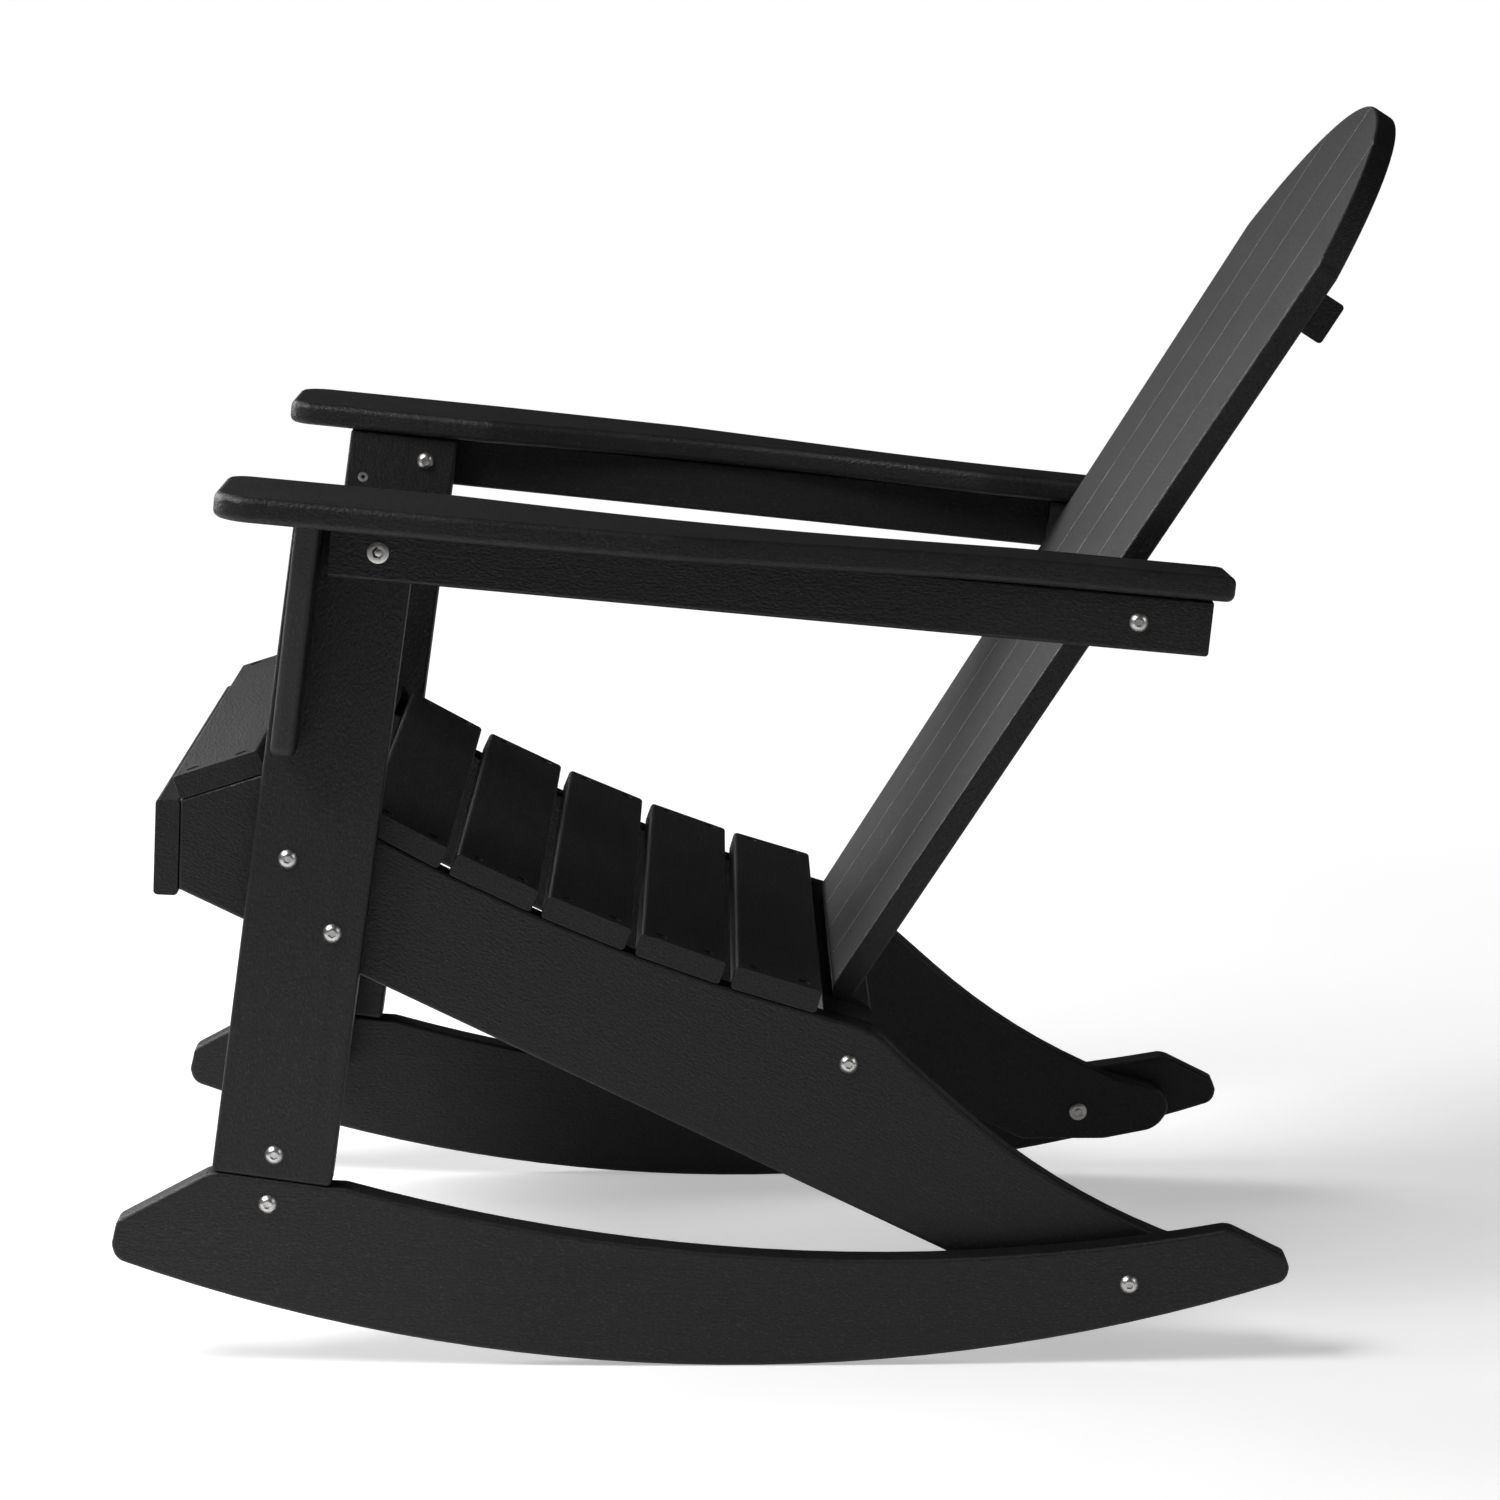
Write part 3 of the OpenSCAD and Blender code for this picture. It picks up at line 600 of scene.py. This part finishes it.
# %% [markdown]
# ## The finish of the boards
#
# Plastic lumber is nearly black, and it isn't glossy: a roller has left fine lines and
# small dents along it, so it shines softly across a wide angle, mostly where it is seen
# edge on. The hairlines and the short dents are in the bump. The same dents and longer
# streaks also mottle the colour a little, and a few pale flecks are strewn over it. Broad
# clouds vary the shine. The routed edges are painted a little lighter in cloudy patches:
# partly rubbed wear, partly a painted highlight along the rims. All of it is noise
# stretched along the board.

# %% The patterns and colours of plastic lumber
# Cells per metre along, across and through a board, and how fine their detail goes
HAIRLINES = (45, 480, 480), 3
STREAKS = (6, 130, 130), 2
DENTS = (330, 520, 520), 3
FLECKS = (420, 620, 620), 1
CLOUDS = (14, 30, 30), 3

DEEP_BLACK = (0.0026, 0.0027, 0.0029, 1)
GREY_BLACK = (0.0078, 0.0079, 0.0083, 1)
PALE_FLECK = (0.038, 0.038, 0.039, 1)
# The lighter colour of the routed rims: partly rubbed wear, partly a painted highlight
RUBBED_AND_HIGHLIT_EDGE = (0.013, 0.0133, 0.014, 1)

STREAK_SHARE = 0.45
FLECK_STRENGTH, FLECK_FROM, FLECK_FULL = 0.6, 0.56, 0.78
RUB_AND_HIGHLIGHT_LEAST, RUB_AND_HIGHLIGHT_MOST = 0.15, 0.8
ROUGH_LEAST, ROUGH_MOST = 0.40, 0.54
CLOUD_LEAST, CLOUD_MOST = -0.02, 0.03
BOARD_BUMP, BOARD_BUMP_DEPTH = 0.7, 0.0009
HAIRLINE_HEIGHT, DENT_HEIGHT = 0.3, 1.0
BOARD_SHINE = 0.5
print("streaks make up", STREAK_SHARE, "of the mottle, dents the rest")

# %% Board material
def board_colour(tree, streaks, dents, flecks, clouds):
    """Mottled black with pale flecks, painted lighter where the router has been: partly
    rubbed wear, partly a painted highlight on the rims.
    """
    mottle = combine(tree, "ADD", remap(tree, streaks, 0, STREAK_SHARE),
                     remap(tree, dents, 0, 1 - STREAK_SHARE))
    colour = blend_colours(tree, mottle, DEEP_BLACK, GREY_BLACK)
    bright = remap(tree, flecks, 0, FLECK_STRENGTH, FLECK_FROM, FLECK_FULL)
    colour = blend_colours(tree, bright, colour, PALE_FLECK)
    # Painted highlight and rubbed wear on the routed faces, in cloudy patches
    rub_and_highlight = combine(tree, "MULTIPLY", attribute(tree, "routed").outputs["Fac"],
                  remap(tree, clouds, RUB_AND_HIGHLIGHT_LEAST, RUB_AND_HIGHLIGHT_MOST))
    return blend_colours(tree, rub_and_highlight, colour, RUBBED_AND_HIGHLIT_EDGE)


def board_material():
    made = bpy.data.materials.new("black_plastic_lumber")
    made.use_nodes = True
    tree = made.node_tree
    shader = tree.nodes["Principled BSDF"]
    grain = attribute(tree, "grain").outputs["Vector"]
    hairs = stretched_noise(tree, grain, *HAIRLINES)
    streaks = stretched_noise(tree, grain, *STREAKS)
    dents = stretched_noise(tree, grain, *DENTS)
    flecks = stretched_noise(tree, grain, *FLECKS)
    clouds = stretched_noise(tree, grain, *CLOUDS)
    tree.links.new(board_colour(tree, streaks, dents, flecks, clouds),
                   shader.inputs["Base Color"])
    rough = combine(tree, "ADD", remap(tree, dents, ROUGH_LEAST, ROUGH_MOST),
                    remap(tree, clouds, CLOUD_LEAST, CLOUD_MOST))
    tree.links.new(rough, shader.inputs["Roughness"])
    bump = add(tree, "ShaderNodeBump", Strength=BOARD_BUMP, Distance=BOARD_BUMP_DEPTH)
    height = combine(tree, "ADD", combine(tree, "MULTIPLY", hairs, HAIRLINE_HEIGHT),
                     combine(tree, "MULTIPLY", dents, DENT_HEIGHT))
    tree.links.new(height, bump.inputs["Height"])
    tree.links.new(bump.outputs["Normal"], shader.inputs["Normal"])
    shader.inputs["Specular IOR Level"].default_value = BOARD_SHINE
    return made


board_finish = board_material()
print("board finish:", board_finish.name, len(board_finish.node_tree.nodes), "nodes")

# %% [markdown]
# ## The side boards
#
# Rockers, legs, cleats and side rails are cut from thick board. Each lies flat against
# its neighbour with its broad sides facing left and right, and its whole outline has been
# routed. The ends of rockers and legs have small rounded corners, and a side rail has a
# soft shoulder behind the seat. The short cleats inside tie each leg to its rocker.

# %% One board from start to finish
BOARD_RIM = 0.003


def make_board(node, rim=BOARD_RIM, facing=None, along=None, corner=0, turns=SHARP,
               screws=(), reach=BORE_REACH):
    """Make the finished board of a node, and return the way that its broad side faces."""
    piece, facing, high, low = blank_board(node, node + "_board", facing)
    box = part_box(node)
    ease(piece, facing, high, low, rim, along, corner, turns)
    bored = sum(bore(piece, kind, box, reach) for kind in screws)
    mark_routed(piece, facing)
    lay_grain(piece, facing)
    dress(piece, node, board_finish)
    if bored:
        print("  bored for", bored, "screws")
    return facing


print("rims are eased by", 1000 * BOARD_RIM, "mm where nothing else is said")

# %% Rockers, legs, cleats and side rails
ROCKER_CORNER = 0.006
LEG_CORNER = 0.0036
SHOULDER_CORNER = 0.012
SHOULDER_TURNS = (27, 33)
for hand in ("left", "right"):
    make_board(f"rocker_{hand}", corner=ROCKER_CORNER)
    make_board(f"front_leg_{hand}", corner=LEG_CORNER, screws=["bracket_screws"])
    make_board(f"leg_cleat_{hand}")
    make_board(f"side_rail_{hand}", corner=SHOULDER_CORNER, turns=SHOULDER_TURNS)

# %% [markdown]
# ## The seat
#
# Seven slats and the apron run right across. A slat is sawn to length from a long plank
# whose four long edges are already round, so its cut ends are crisper than its sides.
# Two screws hold each end.

# %% Seat slats and apron
ACROSS = Vector((1, 0, 0))
SEAT_SLATS = 7
for number in range(1, SEAT_SLATS + 1):
    make_board(f"seat_slat_{number}", along=ACROSS, screws=["seat_screws"])
make_board("front_apron", along=ACROSS, screws=["apron_screws"])

# %% [markdown]
# ## The back
#
# Four tapered slats form a fan with an arched top. They stand side by side with a hair's
# width between them. Their eased edges make that gap read as a line that catches light.

# %% Back slats and brace
BACK_SLATS = 4
BACK_RIM = 0.0022
for number in range(1, BACK_SLATS + 1):
    back_facing = make_board(f"back_slat_{number}", rim=BACK_RIM)
make_board("headrest_brace", along=ACROSS, screws=["back_screws"])
print("the back faces", [round(v, 3) for v in back_facing])

# %% [markdown]
# ## The arms
#
# Each arm is a broad shaped board on a rail that stands on edge, with a bracket outside
# the leg and a spacer block at the rear. The rails and spacers turn in towards the rear,
# so their outline is taken from above, along the armrest's own upright.

# %% Armrests, rails, spacers and brackets
ARM_RIM = 0.0055
SPACER_RIM = 0.002
# The armrests' screw heads lie deep inside the rails, so the drill reaches far out
DEEP_REACH = 0.08
for hand in ("left", "right"):
    arm_facing = make_board(f"armrest_{hand}", rim=ARM_RIM)
    arm_up = arm_facing if arm_facing.z > 0 else -arm_facing
    make_board(f"arm_rail_{hand}", facing=arm_up, screws=["armrest_screws"],
               reach=DEEP_REACH)
    make_board(f"arm_spacer_{hand}", facing=arm_up, rim=SPACER_RIM)
    make_board(f"arm_bracket_{hand}", rim=ARM_RIM)

# %% [markdown]
# ## The two cross pieces with shaped ends
#
# The beam under the back has a ridge in its middle, and the rail behind the back has
# skewed ends, so neither is a plain outline pulled through a thickness. Their copies are
# cleaned with a limited dissolve, which leaves large flat faces. Only their long edges
# are then bevelled.

# %% Beam and cross rail
DISSOLVE_UNDER = math.radians(0.4)
# A long fold: its length in metres, its angle in radians, and how well it runs across
LONG_EDGE = 0.15
LEAST_FOLD = 0.5
RUNS_ACROSS = 0.99
BEAM_RIM = 0.002
CROSS_RAIL_RIM = 0.0015


def is_long_fold(edge):
    """A long edge that runs across the chair and sticks out."""
    return (edge.calc_length() > LONG_EDGE and edge.is_manifold
            and edge.calc_face_angle_signed(0) > LEAST_FOLD
            and abs(edge_way(edge).x) > RUNS_ACROSS)


def make_shaped(node, rim):
    """Make the finished cross piece of a node from its whole skin."""
    piece = copy_node(node, node + "_board")
    open_mesh(piece, "EDGE")
    bpy.ops.mesh.select_all(action="SELECT")
    bpy.ops.mesh.dissolve_limited(angle_limit=DISSOLVE_UNDER)
    pick("edges", is_long_fold)
    bevel_chosen(rim, EDGE_STEPS)
    close_mesh()
    facing = broad_side(piece)
    mark_routed(piece, facing)
    lay_grain(piece, facing, ACROSS)
    dress(piece, node, board_finish)
    print(piece.name, len(piece.data.polygons), "faces")


make_shaped("lower_back_beam", BEAM_RIM)
make_shaped("back_arm_rail", CROSS_RAIL_RIM)

# %% [markdown]
# ## Stainless bolts and nuts
#
# The bolts have low domed heads with a hexagon socket. A head starts as a short cylinder.
# Insetting its top again and again, each time a little higher, builds the dome. A
# six-sided bar then cuts the socket, and the finished bolt is copied to every place.

# %% Bolt head
FACES_UP = 0.9
HEXAGON = 6
HEAD_SIDES = 40
HEAD_R = 0.007
HEAD_BASE = 0.0004
# Each step of the dome goes inwards and upwards by so much
HEAD_STEPS = [(0.0002, 0.0004), (0.0006, 0.0010), (0.0008, 0.0009), (0.0009, 0.0007),
              (0.0007, 0.0004), (0.0005, 0.00015)]
HEAD_SOCKET, HEAD_SOCKET_FLOOR = 0.005, 0.0021
SOCKET_BAR = 0.006
head_height = HEAD_BASE + sum(up for _, up in HEAD_STEPS)


def hexagon_socket(head, across, floor_z):
    """Cut a six-sided socket down to a height, with a six-sided bar."""
    corner_r = across / 2 / math.cos(math.pi / HEXAGON)
    cut_away(head, upright_bar(HEXAGON, corner_r, SOCKET_BAR, floor_z + SOCKET_BAR / 2))


def turned_head(name, radius, steps, shank_r, length):
    """A head with its underside at zero, its top built up in steps, and a shank below."""
    head = upright_bar(HEAD_SIDES, radius, HEAD_BASE, HEAD_BASE / 2)
    head.name = name
    open_mesh(head)
    pick("faces", lambda f: f.normal.z > FACES_UP)
    for inward, upward in steps:
        bpy.ops.mesh.inset(thickness=inward, depth=upward)
    pick("faces", lambda f: f.normal.z < -FACES_UP)
    bpy.ops.mesh.inset(thickness=radius - shank_r, depth=0)
    bpy.ops.mesh.extrude_region_move(TRANSFORM_OT_translate={"value": (0, 0, -length)})
    close_mesh()
    return head


def domed_head(name, shank_r, length):
    head = turned_head(name, HEAD_R, HEAD_STEPS, shank_r, length)
    hexagon_socket(head, HEAD_SOCKET, HEAD_SOCKET_FLOOR)
    return head


print("head height", round(1000 * head_height, 2), "mm")

# %% [markdown]
# The nuts are sleeves that sink into the board, so only a thin flat flange with a wider
# socket shows. In the socket's floor stands the round end of the bolt. On the arms the
# flange is outside, and the domed head is inside.

# %% Sleeve nut
FLANGE_STEPS = [(0.0001, 0.0009), (0.0005, 0.0003)]
NUT_SOCKET, NUT_SOCKET_FLOOR = 0.0078, 0.0003
FLOOR_WITHIN = 0.0001
# The bolt's end in the socket: the floor around it, its rise and its round top
BOLT_END_STEPS = [(0.0013, 0), (0.0002, 0.0007), (0.0004, 0.0002)]


def flat_nut(name, radius, shank_r, length):
    nut = turned_head(name, radius, FLANGE_STEPS, shank_r, length)
    hexagon_socket(nut, NUT_SOCKET, NUT_SOCKET_FLOOR)
    open_mesh(nut)
    pick("faces", lambda f: f.normal.z > FACES_UP
         and abs(f.calc_center_median().z - NUT_SOCKET_FLOOR) < FLOOR_WITHIN)
    for inward, upward in BOLT_END_STEPS:
        bpy.ops.mesh.inset(thickness=inward, depth=upward)
    close_mesh()
    return nut


flange_height = HEAD_BASE + sum(up for _, up in FLANGE_STEPS)
print("flange height", round(1000 * flange_height, 2), "mm")

# %% [markdown]
# The steel is brushed and lightly worn: bright, with fine scratches that widen its
# highlights, and a little dull film that gathers in soft patches.

# %% Steel material
SCRATCHES = (2600, 420, 2600), 2
FILM = (260, 260, 260), 3
FILM_ROUGHNESS = 0.08
STEEL_BUMP, STEEL_BUMP_DEPTH = 0.12, 0.0001
BRIGHT_STEEL, BRIGHT_FILM = (0.80, 0.79, 0.77, 1), (0.66, 0.65, 0.63, 1)
BRIGHT_ROUGH = (0.24, 0.36)
DARK_STEEL, DARK_FILM = (0.07, 0.07, 0.074, 1), (0.04, 0.04, 0.042, 1)
DARK_ROUGH = (0.38, 0.50)


def steel_material(name, colour, dull, roughness):
    made = bpy.data.materials.new(name)
    made.use_nodes = True
    tree = made.node_tree
    shader = tree.nodes["Principled BSDF"]
    place = tree.nodes.new("ShaderNodeTexCoord").outputs["Object"]
    scratches = stretched_noise(tree, place, *SCRATCHES)
    film = stretched_noise(tree, place, *FILM)
    tree.links.new(blend_colours(tree, remap(tree, film, 0, 1), colour, dull),
                   shader.inputs["Base Color"])
    rough = combine(tree, "ADD", remap(tree, scratches, *roughness),
                    remap(tree, film, 0, FILM_ROUGHNESS))
    tree.links.new(rough, shader.inputs["Roughness"])
    bump = add(tree, "ShaderNodeBump", Strength=STEEL_BUMP, Distance=STEEL_BUMP_DEPTH)
    tree.links.new(scratches, bump.inputs["Height"])
    tree.links.new(bump.outputs["Normal"], shader.inputs["Normal"])
    shader.inputs["Metallic"].default_value = 1.0
    return made


steel = steel_material("brushed_stainless", BRIGHT_STEEL, BRIGHT_FILM, BRIGHT_ROUGH)
dark_steel = steel_material("darkened_screw_steel", DARK_STEEL, DARK_FILM, DARK_ROUGH)
print("metal finishes:", steel.name, dark_steel.name)

# %% Placing the bolts and nuts
FIRST_TURN, TURN_STEP = 0.3, 0.7
METAL_CREASE = math.radians(32)


def set_copies(master, node, material, lift):
    """Copy a fastener to each place of its node, join the copies, and remove the first."""
    copies = []
    for number, spot in enumerate(places[node]):
        copy = bpy.data.objects.new(f"{node}_{number}", master.data.copy())
        bpy.context.scene.collection.objects.link(copy)
        spin = Matrix.Rotation(TURN_STEP * number + FIRST_TURN, 4, "Z")
        copy.data.transform(turned_to(spot.way, spot.top + spot.way * lift) @ spin)
        copies.append(copy)
    bpy.ops.object.select_all(action="DESELECT")
    for copy in copies:
        copy.select_set(True)
    bpy.context.view_layer.objects.active = copies[0]
    bpy.ops.object.join()
    group = bpy.context.object
    group.name = node + "_heads"
    only(group)
    bpy.ops.object.shade_smooth_by_angle(angle=METAL_CREASE)
    group.data.materials.clear()
    group.data.materials.append(material)
    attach(group, "root")
    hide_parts(node)
    bpy.data.objects.remove(master)
    print(node, len(copies), "placed")


print("each copy is turned", TURN_STEP, "radians further than the last")

# %% Bolts and nuts
NUT_SHANK_R, BOLT_SHANK_R = 0.0053, 0.004
FLANGED = {"leg_nuts": 0.007, "cleat_nuts": 0.007, "foot_nuts": 0.0074, "arm_bolts": 0.008}
for node in BOLT_NODES + NUT_NODES:
    below = places[node][0].length - head_height
    shank_r = NUT_SHANK_R if node in NUT_NODES else BOLT_SHANK_R
    if node in FLANGED:
        master = flat_nut(node + "_master", FLANGED[node], shank_r, below)
    else:
        master = domed_head(node + "_master", shank_r, below)
    set_copies(master, node, steel, -head_height)

# %% [markdown]
# ## Screws
#
# A countersunk screw shows only a small flat disc with a drive recess. It starts as a
# cylinder, and the top is inset to a shallow rim. The lower end is drawn in to the shank,
# and a square bar cuts the recess. The boards' screws are darkened, and those in the legs
# are bright.

# %% Screws
SQUARE = 4
SCREW_SIDES = 28
DISC_T = 0.0006
DISC_RIM, DISC_CROWN = 0.0004, 0.0001
CONE_H = 0.002
SCREW_SHANK_R = 0.00225
SHORT_OF_HOLE = 0.0002
DRIVE_R = 0.0022
DRIVE_BAR, DRIVE_DEPTH = 0.004, 0.0017


def screw_form(name, radius, length):
    """A countersunk screw with the rim of its disc at zero."""
    screw = upright_bar(SCREW_SIDES, radius, DISC_T, -DISC_T / 2)
    screw.name = name
    open_mesh(screw)
    pick("faces", lambda f: f.normal.z > FACES_UP)
    bpy.ops.mesh.inset(thickness=DISC_RIM, depth=DISC_CROWN)
    pick("faces", lambda f: f.normal.z < -FACES_UP)
    bpy.ops.mesh.extrude_region_move(TRANSFORM_OT_translate={"value": (0, 0, -CONE_H)})
    share = SCREW_SHANK_R / radius
    cone_end = DISC_T + CONE_H
    bpy.ops.transform.resize(value=(share, share, 1), center_override=(0, 0, -cone_end))
    shank = length - cone_end - SHORT_OF_HOLE
    bpy.ops.mesh.extrude_region_move(TRANSFORM_OT_translate={"value": (0, 0, -shank)})
    close_mesh()
    cut_away(screw, upright_bar(SQUARE, DRIVE_R, DRIVE_BAR, DRIVE_BAR / 2 - DRIVE_DEPTH))
    return screw


for node in SCREW_NODES:
    spot = places[node][0]
    master = screw_form(node + "_master", spot.radius, spot.length - SCREW_SINK)
    finish = steel if node == "bracket_screws" else dark_steel
    set_copies(master, node, finish, -SCREW_SINK - DISC_CROWN)

# %% [markdown]
# ## Dowels
#
# The dowels under the back slats can't be seen, but they stay as they are in the CAD
# model, with the boards' finish.

# %% Dowels
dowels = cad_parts["back_dowels"]
for slot in dowels.material_slots:
    slot.material = board_finish
print("dowels keep", len(dowels.material_slots), "material slot")

# %% [markdown]
# ## Floor and surroundings
#
# The photograph has a plain white ground with a soft shadow under the chair and towards
# its rear. The floor is white near the chair and lit by the lamps. Rays from the camera
# and through glass also find some white of its own, and further out all of it is its own,
# so it meets the white world without a line and still keeps the shadow. Mirrored rays find
# a share of that white. It is a small share, because the tops of the boards are seen edge
# on and would mirror a white world far more than they do in the photograph.

# %% What a ray sees of the white surroundings
scene = bpy.context.scene
scene.view_settings.view_transform = "Standard"
WHITE = (1, 1, 1, 1)


def seen_white(tree, gloss):
    """All of it for camera and transmitted rays, and a share for mirrored ones."""
    rays = tree.nodes.new("ShaderNodeLightPath")
    seen = combine(tree, "ADD", rays.outputs["Is Camera Ray"],
                   combine(tree, "MULTIPLY", rays.outputs["Is Glossy Ray"], gloss))
    return combine(tree, "ADD", seen, rays.outputs["Is Transmission Ray"])


print("colours are shown as", scene.view_settings.view_transform)

# %% Floor
FLOOR_R, FLOOR_SIDES = 60, 96
FLOOR_NEAR, FLOOR_FAR = 1.1, 2.4
FLOOR_GLOW = 0.42
FLOOR_GLOSS = 0.2
FLOOR_ROUGHNESS = 0.9
NEAR_WHITE, FAR_GREY = (0.88, 0.88, 0.88, 1), (0.15, 0.15, 0.15, 1)
bpy.ops.object.select_all(action="DESELECT")
bpy.ops.mesh.primitive_circle_add(vertices=FLOOR_SIDES, radius=FLOOR_R, fill_type="NGON",
                                  location=(0, 0, 0))
floor = bpy.context.object
floor.name = "studio_floor"
floor_paint = bpy.data.materials.new("white_studio_floor")
floor_paint.use_nodes = True
tree = floor_paint.node_tree
paint = tree.nodes["Principled BSDF"]
paint.inputs["Roughness"].default_value = FLOOR_ROUGHNESS
paint.inputs["Specular IOR Level"].default_value = 0.0
paint.inputs["Emission Color"].default_value = WHITE
place = tree.nodes.new("ShaderNodeTexCoord").outputs["Object"]
from_middle = tree.nodes.new("ShaderNodeVectorMath")
from_middle.operation = "LENGTH"
tree.links.new(place, from_middle.inputs[0])
away = remap(tree, from_middle.outputs["Value"], 0, 1, FLOOR_NEAR, FLOOR_FAR)
tree.links.new(blend_colours(tree, away, NEAR_WHITE, FAR_GREY), paint.inputs["Base Color"])
glow = remap(tree, away, FLOOR_GLOW, 1.0, 0, 1)
tree.links.new(combine(tree, "MULTIPLY", seen_white(tree, FLOOR_GLOSS), glow),
               paint.inputs["Emission Strength"])
floor.data.materials.append(floor_paint)
print("the floor's own white rises from", FLOOR_GLOW, "to 1 between", FLOOR_NEAR, "and",
      FLOOR_FAR, "m from the chair")

# %% World
WORLD_GLOSS = 0.01
world = bpy.data.worlds.new("studio")
scene.world = world
world.use_nodes = True
backdrop = world.node_tree.nodes["Background"]
backdrop.inputs["Color"].default_value = WHITE
world.node_tree.links.new(seen_white(world.node_tree, WORLD_GLOSS),
                          backdrop.inputs["Strength"])
print("world seen in gloss", WORLD_GLOSS)

# %% [markdown]
# ## Light
#
# The light comes from four large soft panels. The key stands high at the front left, near
# the camera's side. A broad low one at the front right and a higher one beside it draw
# the sheen on the back and on the first slat. A weak one from the rear fills the shadows.

# %% Lamps
LIT_POINT = Vector((0, 0, 0.4))


def panel(name, at, size, power):
    """A square soft light of some width in metres that faces the chair."""
    lamp = bpy.data.lights.new(name, "AREA")
    lamp.shape = "SQUARE"
    lamp.size = size
    lamp.energy = power
    made = bpy.data.objects.new(name, lamp)
    scene.collection.objects.link(made)
    facing = (LIT_POINT - Vector(at)).to_track_quat("-Z", "Y")
    made.matrix_world = Matrix.Translation(at) @ facing.to_matrix().to_4x4()
    print(name, "at", at, "power", power)


panel("key_panel", (1.2, -2.0, 3.0), 1.6, 104)
panel("front_panel", (-2.0, -3.2, 1.6), 1.8, 90)
panel("sheen_panel", (-2.6, -2.4, 2.6), 1.6, 31)
panel("rear_panel", (1.4, 3.2, 2.0), 1.8, 15)
